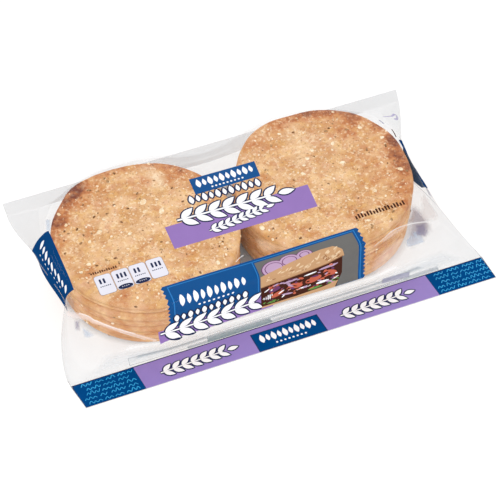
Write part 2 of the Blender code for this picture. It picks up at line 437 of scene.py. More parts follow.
# %% The tree that raises the relief
def make_relief_tree():
    tree, start, end = new_geometry_tree("crust relief", [
        ("Swell height", "NodeSocketFloat", 0.6 * MM),
        ("Swell size", "NodeSocketFloat", 16 * MM),
        ("Blister height", "NodeSocketFloat", 0.5 * MM),
        ("Blister size", "NodeSocketFloat", 5 * MM),
        ("Grain height", "NodeSocketFloat", 0.22 * MM),
        ("Grain size", "NodeSocketFloat", 1.6 * MM),
        ("Side share", "NodeSocketFloat", 0.4),
        ("Seed", "NodeSocketFloat", 0.0),
        ("Material", "NodeSocketMaterial", None),
    ])
    position = tree.nodes.new("GeometryNodeInputPosition").outputs[0]
    total = None
    for layer in ("Swell", "Blister", "Grain"):
        scale = math_node(tree, "DIVIDE", 1.0, start.outputs[f"{layer} size"])
        texture = add_node(
            tree, "ShaderNodeTexNoise",
            {"Vector": position, "W": start.outputs["Seed"], "Scale": scale, "Detail": 2.0},
            noise_dimensions="4D",
        )
        centred = math_node(tree, "SUBTRACT", texture.outputs[0], 0.5)
        raised = times(tree, times(tree, centred, start.outputs[f"{layer} height"]), 2.0)
        total = raised if total is None else math_node(tree, "ADD", total, raised)
    rim = named_attribute(tree, "rim")
    calm = add_node(tree, "ShaderNodeMapRange", {
        0: rim, 1: 1.0, 2: 1.3, 3: 1.0, 4: start.outputs["Side share"],
    })
    total = times(tree, total, calm.outputs[0])
    normal = tree.nodes.new("GeometryNodeInputNormal").outputs[0]
    offset = add_node(tree, "ShaderNodeVectorMath", {0: normal, "Scale": total}, operation="SCALE")
    moved = add_node(
        tree, "GeometryNodeSetPosition",
        {"Geometry": start.outputs["Geometry"], "Offset": offset.outputs[0]},
    )
    whole = add_node(tree, "GeometryNodeRealizeInstances", {0: moved.outputs[0]})
    dressed = add_node(
        tree, "GeometryNodeSetMaterial",
        {"Geometry": whole.outputs[0], "Material": start.outputs["Material"]},
    )
    tree.links.new(dressed.outputs[0], end.inputs[0])
    return tree


relief_tree = make_relief_tree()
print("relief tree:", len(relief_tree.nodes), "nodes")

# %% [markdown]
# ## Browned places
# Each top round was browned where it touched the hot plate or rose highest, and dusted with flour here and
# there. How brown or floured it is at a point comes from a few round places, each with a reach and a
# strength, that fade outwards and add up. The result is stored on the points of the round's mesh.

# %% Places that are browned or floured
# (x, y, reach, strength): mm from the middle of the top round, as seen from above.
BROWNED = {
    "left": (
        (-33, 42, 10, 0.72), (-45, 27, 9, 0.85), (-25, 48, 8, 0.72), (-52, 14, 6, 0.5), (-8, 53, 7, 0.5),
        (5, 52, 6, 0.4), (18, 50, 6, 0.45), (28, 46, 6, 0.5), (37, 39, 7, 0.5), (45, 29, 5, 0.4),
        (28, 31, 7, 0.35), (14, 38, 5, 0.35), (-38, -16, 8, 0.3), (-26, -41, 7, 0.4), (-50, 5, 6, 0.3),
        (-14, 30, 9, 0.2), (20, 0, 10, 0.15),
    ),
    "right": (
        (23, 48, 8, 0.75), (36, 39, 7, 0.85), (45, 25, 6, 0.6), (50, 11, 6, 1.0), (46, -1, 6, 0.75),
        (47, -12, 7, 0.65), (40, -26, 7, 0.5), (-12, 47, 8, 0.45), (-28, 40, 8, 0.35), (-42, 28, 6, 0.25),
        (7, 27, 7, 0.3), (26, 28, 8, 0.5), (35, -38, 6, 0.4), (2, 52, 8, 0.6), (12, 50, 6, 0.55),
        (34, 8, 12, 0.25), (32, -14, 10, 0.25), (-20, 26, 9, 0.2),
    ),
}
FLOURED = {
    "left": ((18, 45, 4, 0.7), (20, 38, 4, 0.9), (22, 31, 4, 0.6), (2, 5, 7, 0.25), (-18, -4, 8, 0.2)),
    "right": ((-8, 12, 8, 0.3), (3, 30, 7, 0.5), (14, 20, 6, 0.35), (-4, 38, 5, 0.35)),
}


def spread(places, x, y):
    """How strongly the places reach (x, y), from 0 to 1. They fade like soft spots of paint."""
    total = 0.0
    for place_x, place_y, reach, strength in places:
        distance = math.hypot(x / MM - place_x, y / MM - place_y)
        total += strength * math.exp(-(distance / reach) ** 2)
    return min(total, 1.0)


print("browned places:", {side: len(places) for side, places in BROWNED.items()})

# %% [markdown]
# ## The baked crust
# The crust is a pale golden tan with amber, rosy and golden clouds where it blistered. Over that come the
# browned places, their edges broken up by noise, then fine flour and dark specks. The colours are laid over
# each other in this order, each through a mask of its own. Grains large enough to stand up are real pieces,
# strewn later.

# %% Crust material
def crust_material():
    material, tree, shader, place = new_material("baked_crust")
    toast, floured, rim = (point_value(tree, name) for name in ("toast", "flour", "rim"))

    def cloud(size, detail, low, high):
        return patches(tree, place, size * MM, detail, low, high)

    def ramp(value, low, high, at_low=0.0, at_high=1.0):
        ends = {0: value, 1: low, 2: high, 3: at_low, 4: at_high}
        return add_node(tree, "ShaderNodeMapRange", ends).outputs[0]

    # Dough, with amber, rosy and golden clouds. The small mottles keep to the flat faces.
    flat = ramp(rim, 1.25, 1.0, 0.25, 1.0)
    dough = colour_mix(tree, cloud(13, 3, 0.38, 0.62), (0.575, 0.298, 0.120, 1), (0.765, 0.495, 0.262, 1))
    dough = colour_mix(tree, times(tree, cloud(8.5, 5, 0.49, 0.66), 0.8), dough, (0.52, 0.205, 0.06, 1))
    dough = colour_mix(tree, times(tree, cloud(6.3, 3, 0.48, 0.66), 0.45), dough, (0.68, 0.37, 0.235, 1))
    dough = colour_mix(tree, times(tree, cloud(5.2, 3, 0.48, 0.66), 0.45), dough, (0.76, 0.455, 0.155, 1))
    mottled = times(tree, times(tree, cloud(2.4, 4, 0.54, 0.72), 0.5), flat)
    dough = colour_mix(tree, mottled, dough, (0.44, 0.19, 0.07, 1))

    # Browned places with ragged edges: first a warm brown, and a dark one where they are strongest.
    patchy = math_node(tree, "ADD", times(tree, cloud(3.4, 5, 0.32, 0.68), 0.75), 0.62)
    stray = times(tree, cloud(4, 4, 0.3, 0.7), 0.22)
    ragged = math_node(tree, "ADD", times(tree, toast, patchy), stray)
    dough = colour_mix(tree, ramp(ragged, 0.18, 0.65, 0.0, 0.9), dough, (0.50, 0.165, 0.048, 1))
    dough = colour_mix(tree, ramp(ragged, 0.52, 1.12, 0.0, 0.95), dough, (0.155, 0.03, 0.012, 1))

    # Flour and specks, fewer where the crust is browned, and the dark line of the slit, which is painted
    # shade.
    bare = times(tree, ramp(toast, 0.25, 0.8, 1.0, 0.25), flat)
    flour = times(tree, times(tree, cloud(1.6, 2, 0.54, 0.68), 0.6), bare)
    dough = colour_mix(tree, flour, dough, (0.88, 0.69, 0.46, 1))
    dusted = times(tree, times(tree, floured, cloud(3, 3, 0.3, 0.6)), 0.75)
    dough = colour_mix(tree, dusted, dough, (0.86, 0.68, 0.47, 1))
    specks = times(tree, times(tree, cloud(1.1, 1, 0.62, 0.72), 0.65), bare)
    dough = colour_mix(tree, specks, dough, (0.26, 0.12, 0.05, 1))
    # The slit's dark line is painted shade in the cut.
    dough = colour_mix(tree, times(tree, ramp(rim, 1.955, 2.0), 0.35), dough, (0.40, 0.19, 0.08, 1))

    tree.links.new(dough, shader.inputs["Base Color"])
    shader.inputs["Roughness"].default_value = 0.65
    shader.inputs["Specular IOR Level"].default_value = 0.22
    fine = add_node(tree, "ShaderNodeTexNoise", {"Vector": place, "Scale": 1 / (0.9 * MM), "Detail": 3.0})
    bump = add_node(tree, "ShaderNodeBump", {
        "Height": fine.outputs[0], "Strength": 0.5, "Distance": 0.25 * MM,
    })
    tree.links.new(bump.outputs[0], shader.inputs["Normal"])
    return material


crust = crust_material()
print("material:", crust.name, len(crust.node_tree.nodes), "nodes")

# %% [markdown]
# ## Baking the rounds
# Four rounds lie on each other in either stack. The lower ones show only at their rims, so they get a
# coarser grid, a plain radius that wanders a little, and hardly any browning. The film lies taut on the top
# rounds, which presses their highest swells down.

# %% Bake the rounds
TOP_LEVEL = 3                       # the lowest round has level 0
TOP_CELLS, LOWER_CELLS = 140, 64    # little faces across a round
LOWER_DIRECTIONS = 12               # radii of a lower round
LOWER_WANDER = 0.5                  # mm, how far they wander
LOWER_TOAST = 0.2
PRESSED_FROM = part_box("bag")[1][2] - 1.3 * MM
PRESSED_ROOM = 0.9 * MM


def press_under_film(mesh):
    """The taut film presses the highest swells down, softly."""
    for vert in mesh.vertices:
        over = vert.co.z - PRESSED_FROM
        if over > 0:
            vert.co.z = PRESSED_FROM + PRESSED_ROOM * (1 - math.exp(-over / PRESSED_ROOM))


def make_rounds():
    pieces = []
    for side, centre in STACK_CENTRES.items():
        stack_middle = STACKS_MIDDLE + centre
        bottom_z = LOWEST
        for level, thickness in enumerate(THICKNESSES[side]):
            thickness *= MM
            if level == TOP_LEVEL:
                middle, radii, cells = stack_middle, TOP_OUTLINES[side], TOP_CELLS
                toast = lambda x, y: spread(BROWNED[side], x, y)
                flour = lambda x, y: spread(FLOURED[side], x, y)
            else:
                radius, shift_x, shift_y = LOWER_ROUNDS[side][level]
                middle, cells = stack_middle + Vector((shift_x, shift_y, 0)) * MM, LOWER_CELLS
                wander = [noise.noise((k, level, centre.x)) for k in range(LOWER_DIRECTIONS)]
                radii = [radius + LOWER_WANDER * step for step in wander]
                toast = lambda x, y: LOWER_TOAST
                flour = lambda x, y: 0.0
            name = f"round_{side}_{level + 1}"
            mesh = make_round_mesh(name, middle, bottom_z, thickness, radii, cells, toast, flour)
            bottom_z += thickness
            values = {"Seed": 3.7 * level + (11.0 if side == "left" else 0.0), "Material": crust}
            piece = run_tree(mesh, relief_tree, name, values)
            press_under_film(piece.data)
            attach(piece, "root")
            pieces.append(piece)
    return pieces


rounds = make_rounds()
print("rounds:", [(piece.name, len(piece.data.polygons)) for piece in rounds])

# %% [markdown]
# ## Grains, oat flakes and seeds
# Hundreds of small grains are baked into the crust: pale bits of cracked grain, a few large oat flakes, and
# small dark seeds. One Geometry Nodes tree strews them over a round. It spreads points over the surface,
# turns a small ball on each one to face outwards, gives it its own size and turn, and then bends all the
# balls with noise, so that no two are alike. They sink into the crust by a share of their thickness.

# %% The tree that strews grains
def make_strewing_tree():
    tree, start, end = new_geometry_tree("strewn grains", [
        ("How many per square metre", "NodeSocketFloat", 30000.0),
        ("Share where browned", "NodeSocketFloat", 0.25),
        ("Length", "NodeSocketFloat", 1.4 * MM),
        ("Width", "NodeSocketFloat", 1.0 * MM),
        ("Thickness", "NodeSocketFloat", 0.6 * MM),
        ("Smallest", "NodeSocketFloat", 0.5),
        ("Largest", "NodeSocketFloat", 1.2),
        ("Lift", "NodeSocketFloat", 0.0),
        ("Crumple", "NodeSocketFloat", 0.3 * MM),
        ("Lowest facing", "NodeSocketFloat", 0.4),
        ("Highest facing", "NodeSocketFloat", 2.0),
        ("Seed", "NodeSocketInt", 0),
        ("Material", "NodeSocketMaterial", None),
    ])
    inputs = start.outputs
    facing = add_node(
        tree, "ShaderNodeSeparateXYZ", {0: tree.nodes.new("GeometryNodeInputNormal").outputs[0]}
    ).outputs["Z"]
    above = math_node(tree, "GREATER_THAN", facing, inputs["Lowest facing"])
    below = math_node(tree, "LESS_THAN", facing, inputs["Highest facing"])
    toast = named_attribute(tree, "toast")
    kept = add_node(tree, "ShaderNodeMapRange", {
        0: toast, 1: 0.3, 2: 0.8, 3: 1.0, 4: inputs["Share where browned"],
    })
    points = add_node(tree, "GeometryNodeDistributePointsOnFaces", {
        "Mesh": inputs["Geometry"], "Selection": times(tree, above, below),
        "Density": times(tree, inputs["How many per square metre"], kept.outputs[0]),
        "Seed": inputs["Seed"],
    })
    ball = add_node(tree, "GeometryNodeMeshUVSphere", {"Segments": 8, "Rings": 5, "Radius": 0.5})
    size = add_node(tree, "ShaderNodeCombineXYZ", {
        "X": inputs["Length"], "Y": inputs["Width"], "Z": inputs["Thickness"],
    })
    grain = add_node(tree, "GeometryNodeTransform", {"Geometry": ball.outputs[0], "Scale": size.outputs[0]})
    turn = add_node(tree, "FunctionNodeRandomValue", {
        "Min": 0.0, "Max": math.tau, "Seed": 3,
    }, data_type="FLOAT")
    spin = add_node(tree, "ShaderNodeCombineXYZ", {"Z": turn.outputs[1]})
    tilt = add_node(tree, "FunctionNodeRotateEuler", {
        0: points.outputs["Rotation"], 1: spin.outputs[0],
    }, space="LOCAL")
    scale = add_node(tree, "FunctionNodeRandomValue", {
        2: inputs["Smallest"], 3: inputs["Largest"], "Seed": 5,
    }, data_type="FLOAT")
    strewn = add_node(tree, "GeometryNodeInstanceOnPoints", {
        "Points": points.outputs["Points"], "Instance": grain.outputs[0],
        "Rotation": tilt.outputs[0], "Scale": scale.outputs[1],
    })
    lift = add_node(tree, "ShaderNodeCombineXYZ", {"Z": inputs["Lift"]})
    lifted = add_node(tree, "GeometryNodeTranslateInstances", {
        "Instances": strewn.outputs[0], "Translation": lift.outputs[0],
    })
    whole = add_node(tree, "GeometryNodeRealizeInstances", {0: lifted.outputs[0]})
    position = tree.nodes.new("GeometryNodeInputPosition").outputs[0]
    bend = add_node(tree, "ShaderNodeTexNoise", {"Vector": position, "Scale": 1 / (1.1 * MM), "Detail": 1.0})
    centred = vector_math(tree, "SUBTRACT", bend.outputs[1], (0.5, 0.5, 0.5))
    pushed = add_node(tree, "ShaderNodeVectorMath", {
        0: centred, "Scale": inputs["Crumple"],
    }, operation="SCALE")
    bent = add_node(tree, "GeometryNodeSetPosition", {
        "Geometry": whole.outputs[0], "Offset": pushed.outputs[0],
    })
    soft = add_node(tree, "GeometryNodeSetShadeSmooth", {"Geometry": bent.outputs[0]})
    dressed = add_node(tree, "GeometryNodeSetMaterial", {
        "Geometry": soft.outputs[0], "Material": inputs["Material"],
    })
    tree.links.new(dressed.outputs[0], end.inputs[0])
    return tree


strewing_tree = make_strewing_tree()
print("strewing tree:", len(strewing_tree.nodes), "nodes")

# %% [markdown]
# ## Colours of the grains
# Cracked grain and oat flakes are lighter than the crust, and the seeds are dark. Every kind has two
# colours, in patches of two or three millimetres, so that its grains differ.

# %% Grain materials
def grain_material(name, dark, light, size, roughness):
    """Two colours of one kind of grain, changing from grain to grain."""
    material, tree, shader, place = new_material(name)
    colour = colour_mix(tree, patches(tree, place, size, 2.0, 0.38, 0.62), dark, light)
    tree.links.new(colour, shader.inputs["Base Color"])
    shader.inputs["Roughness"].default_value = roughness
    shader.inputs["Specular IOR Level"].default_value = 0.25
    return material


GRAIN = grain_material("cracked_grain", (0.70, 0.47, 0.27, 1), (0.90, 0.74, 0.54, 1), 3.1 * MM, 0.5)
OAT = grain_material("oat_flake", (0.80, 0.58, 0.35, 1), (0.92, 0.79, 0.58, 1), 2.2 * MM, 0.6)
SEED = grain_material("dark_seed", (0.17, 0.07, 0.02, 1), (0.42, 0.25, 0.11, 1), 2.7 * MM, 0.75)
print("grain materials:", [material.name for material in (GRAIN, OAT, SEED)])

# %% [markdown]
# ## Strewing
# Each top round gets fine grain, oat flakes and seeds on its upper side. A lower round shows only its side,
# so it gets a quarter of the grain and seeds there, and no flakes.

# %% Strew them
# name, slot, material, and the tree's inputs.
KINDS = (
    ("grain", "oat", GRAIN, {
        "How many per square metre": 24000.0, "Length": 1.6 * MM, "Width": 1.05 * MM, "Thickness": 0.7 * MM,
        "Smallest": 0.25, "Largest": 1.4, "Lift": 0.02 * MM, "Crumple": 0.4 * MM, "Seed": 11,
    }),
    ("oats", "oat", OAT, {
        "How many per square metre": 900.0, "Length": 3.4 * MM, "Width": 2.4 * MM, "Thickness": 0.8 * MM,
        "Smallest": 0.5, "Largest": 1.1, "Lift": 0.1 * MM, "Crumple": 0.9 * MM, "Seed": 23,
    }),
    ("seeds", "seed", SEED, {
        "How many per square metre": 9000.0, "Length": 1.7 * MM, "Width": 1.05 * MM, "Thickness": 0.8 * MM,
        "Smallest": 0.4, "Largest": 1.35, "Lift": 0.02 * MM, "Crumple": 0.2 * MM, "Seed": 37,
    }),
)
TOP_FACING = {"Lowest facing": 0.3, "Highest facing": 2.0}
SIDE_FACING = {"Lowest facing": -0.6, "Highest facing": 0.75}
SIDE_SHARE = 0.25                   # the sides carry fewer grains than the top
SEED_STEP = 100                     # so that no two rounds are strewn alike


def strew(round_piece, is_top, offset):
    """All kinds of grain on one round."""
    made = []
    for kind, slot, material, values in KINDS:
        if kind == "oats" and not is_top:
            continue
        facing = TOP_FACING if is_top else SIDE_FACING
        values = {**values, **facing, "Seed": values["Seed"] + offset, "Material": material}
        if not is_top:
            values["How many per square metre"] *= SIDE_SHARE
        piece = run_tree(round_piece.data, strewing_tree, f"{kind}_{round_piece.name}", values)
        if not len(piece.data.polygons):
            bpy.data.objects.remove(piece)
            continue
        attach(piece, "root")
        made.append(piece)
    return made


strewn_pieces = []
for number, piece in enumerate(rounds):
    strewn_pieces += strew(piece, piece.name.endswith("_4"), SEED_STEP * number)
print("strewn faces:", {piece.name: len(piece.data.polygons) for piece in strewn_pieces})

# %% [markdown]
# ## The largest oat flakes
# A few flakes are so large that each is seen by itself, so they are placed one by one, in mm on the pack.
# Each is a flat ball, bent with noise, and a ray from above finds the crust that it lies on.

# %% The largest flakes
FLAKE_WIDTH = 0.72                  # of its length
FLAKE_THICKNESS, FLAKE_BEND = 0.9 * MM, 0.35 * MM
# (x, y, length): mm in the frame of the pack, and the flake's length.
LARGE_FLAKES = {
    "left": (
        (-54.0, 28.2, 4.8), (-55.4, 21.0, 3.2), (-46.5, 17.7, 4.4), (-84.9, 15.7, 3.6), (-69.0, 8.5, 2.8),
        (-92.4, 11.0, 2.6), (-79.3, 24.0, 2.4), (-104.2, -8.4, 2.4),
    ),
    "right": (
        (2.4, -15.4, 3.8), (73.8, -13.3, 2.8), (61.1, -33.0, 2.6), (47.0, 24.5, 3.0), (52.2, 29.3, 2.6),
        (43.2, 20.1, 2.2),
    ),
}


def make_large_flakes(side, round_piece):
    """Each flake is a flat, crumpled ball that lies on the crust under it."""
    vertices = [vert.co for vert in round_piece.data.vertices]
    faces = [tuple(face.vertices) for face in round_piece.data.polygons]
    crust_surface = BVHTree.FromPolygons(vertices, faces)
    draw = random.Random(len(side))
    bm = bmesh.new()
    for x, y, length in LARGE_FLAKES[side]:
        place = crust_surface.ray_cast(Vector((x, y, 100)) * MM, Vector((0, 0, -1)))[0]
        turn = draw.uniform(0, math.pi)
        ball = bmesh.ops.create_uvsphere(bm, u_segments=20, v_segments=12, radius=0.5)
        for vert in ball["verts"]:
            x_out = vert.co.x * length * MM
            y_out = vert.co.y * length * MM * FLAKE_WIDTH
            where = Vector((x_out, y_out, vert.co.z)) * 700 + place * 90
            bend = Vector(noise.noise_vector(where)) * FLAKE_BEND
            x_turned = x_out * math.cos(turn) - y_out * math.sin(turn)
            y_turned = x_out * math.sin(turn) + y_out * math.cos(turn)
            vert.co = place + Vector((x_turned, y_turned, vert.co.z * FLAKE_THICKNESS)) + bend
    mesh = bpy.data.meshes.new(f"large_oats_{side}")
    bm.to_mesh(mesh)
    bm.free()
    mesh.shade_smooth()
    mesh.materials.append(OAT)
    piece = add_piece(f"large_oats_{side}", mesh)
    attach(piece, "root")
    return piece


large_flakes = [make_large_flakes(side, bpy.data.objects[f"round_{side}_4"]) for side in STACK_CENTRES]
print("large flakes:", [len(piece.data.polygons) for piece in large_flakes])

# %% [markdown]
# ## The film
# The bag is one thin clear film. It lies on both stacks, comes down over their shoulders, and meets the
# lower film in a line that runs round the pack. In front and behind, the two films are pressed together
# into flat seals. The surface is made of rings: every place round the pack has a profile from the middle of
# the top, over the shoulder, out to the line where the films meet and back in underneath. Each point also
# stores how cloudy the film is there, because film drawn tight or pressed flat looks whiter than film lying
# on bread. The cloudy film also dims what is seen through it, which on the flaps is partly painted shade.

# %% Film: sizes
FILM_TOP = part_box("bag")[1][2]
WALL_RADIUS = 55.5 * MM
BOTTOM_RADIUS = 50.5 * MM
FRONT_SEAL_Y, FRONT_SEAL_Z, FRONT_FLAP, FRONT_FLAP_RISE = -66 * MM, 6 * MM, 18.5 * MM, 2 * MM
BACK_SEAL_Y, BACK_SEAL_Z, BACK_FLAP, BACK_FLAP_RISE = 60 * MM, 13.5 * MM, 10 * MM, 0.5 * MM
FRONT_FLAP_TAPER = 3 * MM
BACK_FLAP_FLARE = 3.1 * MM
SEAL_THICKNESS = 0.24 * MM
END_BULGE_Z = 20 * MM
WAIST_BACK_Y, WAIST_SOFTNESS = 20 * MM, 0.10
WAIST_FRONT_Y = {"left": -18 * MM, "right": -9 * MM}
# How far out each end reaches at the back of its waist and in front, and the y from which it is that narrow.
WAISTS = {"left": (115.5 * MM, 110.6 * MM, -18 * MM), "right": (115.5 * MM, 111.4 * MM, 5 * MM)}
EARS = {
    ("left", "front"): (124.6 * MM, 2.2),
    ("right", "front"): (128.5 * MM, 1.0),
    ("left", "back"): (120.6 * MM, 2.0),
    ("right", "back"): (131.4 * MM, 1.15),
}
TUCK_DEPTH, TUCK_Y, TUCK_REACH = 3.2 * MM, -5.0 * MM, 24 * MM
TUCK_AT_WAIST = 0.6                 # lower down, the film is drawn in less, and under the bread not at all
BRIDGE_HALF_WIDTH = 46 * MM
BRIDGE_SAG = {"front": 2 * MM, "back": 6 * MM}
BRIDGE_PULL = {"front": 1 * MM, "back": 5 * MM}
BRIDGE_EDGE = 6                     # the dip keeps to the film's edge: further in, it lies on the bread
SHOULDER_CUT, FOOT_CUT = 3 * MM, 6 * MM
CUT_SHARE = 0.45                    # a rounded corner takes at most this share of the lines beside it
LONG_WALL_FROM, LONG_WALL_FADE = 48, 40   # degrees off the long axis, where an end turns into a long wall
END_WALL_TO, END_WALL_FADE = 42, 30
# How the wall's foot and the line under the seal lie, as shares of the way from shoulder to rim and back.
WALLS = {
    "front": {"foot_out": 0.11, "foot_up": 0.05, "keel_in": 0.45, "keel_up": 0.35},
    "back": {"foot_out": 0.30, "foot_up": 0.12, "keel_in": 0.45, "keel_up": 0.35},
    "end": {"foot_out": 0.75, "foot_up": 0.55, "keel_in": 0.15, "keel_up": 0.30},
    "ear": {"foot_out": 0.50, "foot_up": 0.42, "keel_in": 0.50, "keel_up": 0.40},
}
TOP_SHARES = (0.08, 0.25, 0.42, 0.58, 0.72, 0.82, 0.88)
STRAIGHT_STEPS, END_STEPS = 112, 120
TINY = 1e-7


def mix(a, b, t):
    return a + (b - a) * t


def mix_point(a, b, t):
    return tuple(mix(p, q, t) for p, q in zip(a, b))


def smooth(t):
    t = min(max(t, 0.0), 1.0)
    return t * t * (3 - 2 * t)


print("film: top", round(FILM_TOP / MM, 2), "mm, radius of the wall", round(WALL_RADIUS / MM, 1), "mm")

# %% [markdown]
# ## The line where the films meet
# In front and behind this line is straight, along the pressed seals. At the ends it swings in to a waist
# beside the bread and out again to an ear at every corner, each a little different, as in the photo. It is
# measured along rays from the stacks' middles, so that every profile of the film finds its own place on it.

# %% Film: the outline on which the two films meet
def tuck(side, y):
    """How far the film is drawn in against the bread in the middle of the right end."""
    if side == "left":
        return 0.0
    return TUCK_DEPTH * smooth(1 - abs(y - TUCK_Y) / TUCK_REACH)


def side_line(side, y):
    """The outermost line of one end at depth y, as (x, z)."""
    sign = 1 if side == "right" else -1
    waist_back, waist_front, narrow_from = WAISTS[side]
    waist = mix(waist_front, waist_back, smooth((y - narrow_from) / (WAIST_BACK_Y - narrow_from)))
    waist -= tuck(side, y) * TUCK_AT_WAIST
    if WAIST_FRONT_Y[side] <= y <= WAIST_BACK_Y:
        return sign * waist, END_BULGE_Z
    part, start, seal_y, seal_z = "back", WAIST_BACK_Y, BACK_SEAL_Y, BACK_SEAL_Z
    if y < 0:
        part, start, seal_y, seal_z = "front", WAIST_FRONT_Y[side], FRONT_SEAL_Y, FRONT_SEAL_Z
    corner, bend = EARS[side, part]
    t = min((y - start) / (seal_y - start), 1.0)
    height = mix(END_BULGE_Z, seal_z, smooth(t))
    t = t * t * (1 + WAIST_SOFTNESS) / (t + WAIST_SOFTNESS)
    return sign * mix(waist, corner, 1 - (1 - t) ** bend), height


def seal_point(x, part):
    if part == "front":
        return x, FRONT_SEAL_Y, FRONT_SEAL_Z
    return x, BACK_SEAL_Y, BACK_SEAL_Z


def rim_point(side, angle):
    """Where the ray from a stack's middle meets the outline."""
    sign = 1 if side == "right" else -1
    dx, dy = sign * math.cos(angle), math.sin(angle)
    part = "front" if dy < 0 else "back"
    seal_y = FRONT_SEAL_Y if part == "front" else BACK_SEAL_Y
    if dy:
        x = sign * STACK_X + dx * seal_y / dy
        if abs(x) <= EARS[side, part][0] + TINY:
            return seal_point(x, part)
    near, far = 0.0, EARS[side, part][0]
    for _ in range(30):
        reach = (near + far) / 2
        if abs(sign * STACK_X + dx * reach) < abs(side_line(side, dy * reach)[0]):
            near = reach
        else:
            far = reach
    x, z = side_line(side, dy * near)
    return x, dy * near, z


def flap_edge(rim):
    """The free edge beyond a place on the outline."""
    x, y, z = rim
    side = "right" if x > 0 else "left"
    if abs(y - FRONT_SEAL_Y) < TINY:
        corner = EARS[side, "front"][0]
        taper = FRONT_FLAP_TAPER if side == "left" else 0.0
        return x * (corner - taper) / corner, y - FRONT_FLAP, z + FRONT_FLAP_RISE
    if abs(y - BACK_SEAL_Y) < TINY:
        corner = EARS[side, "back"][0]
        flare = BACK_FLAP_FLARE if side == "right" else 0.0
        return x * (corner + flare) / corner, y + BACK_FLAP, z + BACK_FLAP_RISE
    return x + math.copysign(0.5 * MM, x), y, z


for side in STACK_CENTRES:
    reaches = [abs(side_line(side, y)[0]) for y in (0.0, BACK_SEAL_Y)]
    print(side, "waist and back ear reach:", [round(reach / MM, 1) for reach in reaches], "mm")

# %% [markdown]
# ## The profiles
# A profile starts on the top, rounds the shoulder, drops to the foot of the wall and runs out to the rim.
# It goes over the flap's free edge, back underneath, and up again to the bread's underside. Both corners
# are rounded. Where the wall faces front, back, an end or an ear, its foot lies further out or further in.

# %% Film: places round the pack and their profiles
def film_stations():
    """Places round the pack, anticlockwise from the front left: (kind, side or part, value)."""
    found = [("straight", "front", mix(-STACK_X, STACK_X, k / STRAIGHT_STEPS)) for k in range(STRAIGHT_STEPS)]
    found += end_stations("right", -1)
    found += [("straight", "back", mix(STACK_X, -STACK_X, k / STRAIGHT_STEPS)) for k in range(STRAIGHT_STEPS)]
    return found + end_stations("left", 1)


def end_stations(side, first):
    """Directions round one end, with one exactly on each ear."""
    angles = [first * math.radians(mix(90, -90, k / END_STEPS)) for k in range(END_STEPS)]
    for part, seal_y in (("front", FRONT_SEAL_Y), ("back", BACK_SEAL_Y)):
        ear = math.atan2(seal_y, EARS[side, part][0] - STACK_X)
        angles[min(range(1, END_STEPS), key=lambda k: abs(angles[k] - ear))] = ear
    return [("end", side, angle) for angle in angles]


def stadium_point(station, radius, tucked=1.0):
    kind, where, value = station
    if kind == "straight":
        return value, (-radius if where == "front" else radius)
    sign = 1 if where == "right" else -1
    reach = radius * (1 - tucked * tuck(where, radius * math.sin(value)) / WALL_RADIUS)
    return sign * (STACK_X + reach * math.cos(value)), reach * math.sin(value)


def top_point(station, share):
    """A point of the film's top, on the stadium that is share times as wide as the wall."""
    x, y = stadium_point(station, WALL_RADIUS * share)
    part = "front" if y < 0 else "back"
    bridge = math.cos(math.pi * x / (2 * BRIDGE_HALF_WIDTH)) ** 2 if abs(x) < BRIDGE_HALF_WIDTH else 0.0
    bridge *= share ** BRIDGE_EDGE
    return x, y - math.copysign(BRIDGE_PULL[part] * bridge, y), FILM_TOP - BRIDGE_SAG[part] * bridge


def wall_form(station, name):
    kind, where, angle = station
    if kind == "straight":
        return WALLS[where][name]
    off_axis = math.degrees(abs(angle))
    long_wall = smooth((off_axis - LONG_WALL_FROM) / LONG_WALL_FADE)
    end = smooth((END_WALL_TO - off_axis) / END_WALL_FADE)
    long_name = "front" if angle < 0 else "back"
    shares = ((long_wall, long_name), (end, "end"), (1 - long_wall - end, "ear"))
    return sum(share * WALLS[wall][name] for share, wall in shares)


def rounded_corner(before, corner, after, cut, steps):
    start = mix_point(corner, before, min(cut / math.dist(corner, before), CUT_SHARE))
    stop = mix_point(corner, after, min(cut / math.dist(corner, after), CUT_SHARE))
    return [
        mix_point(mix_point(start, corner, k / steps), mix_point(corner, stop, k / steps), k / steps)
        for k in range(steps + 1)
    ]


def between(start, stop, steps):
    """Points strictly between two points."""
    return [mix_point(start, stop, k / steps) for k in range(1, steps)]


# Cloudiness is partly the film's own haze and partly painted shade, because it dims what is seen through it.
def cloud_and_shade(x, y):
    """How cloudy the wall is. Its back is clearest right of the middle, its front whiter at the right end."""
    along = x / MM
    if y > 0:
        return mix(1.0, 0.4, smooth((along + 20) / 90)) + 0.5 * smooth((along - 80) / 30)
    return 0.3 + 0.35 * smooth((along - 95) / 25)


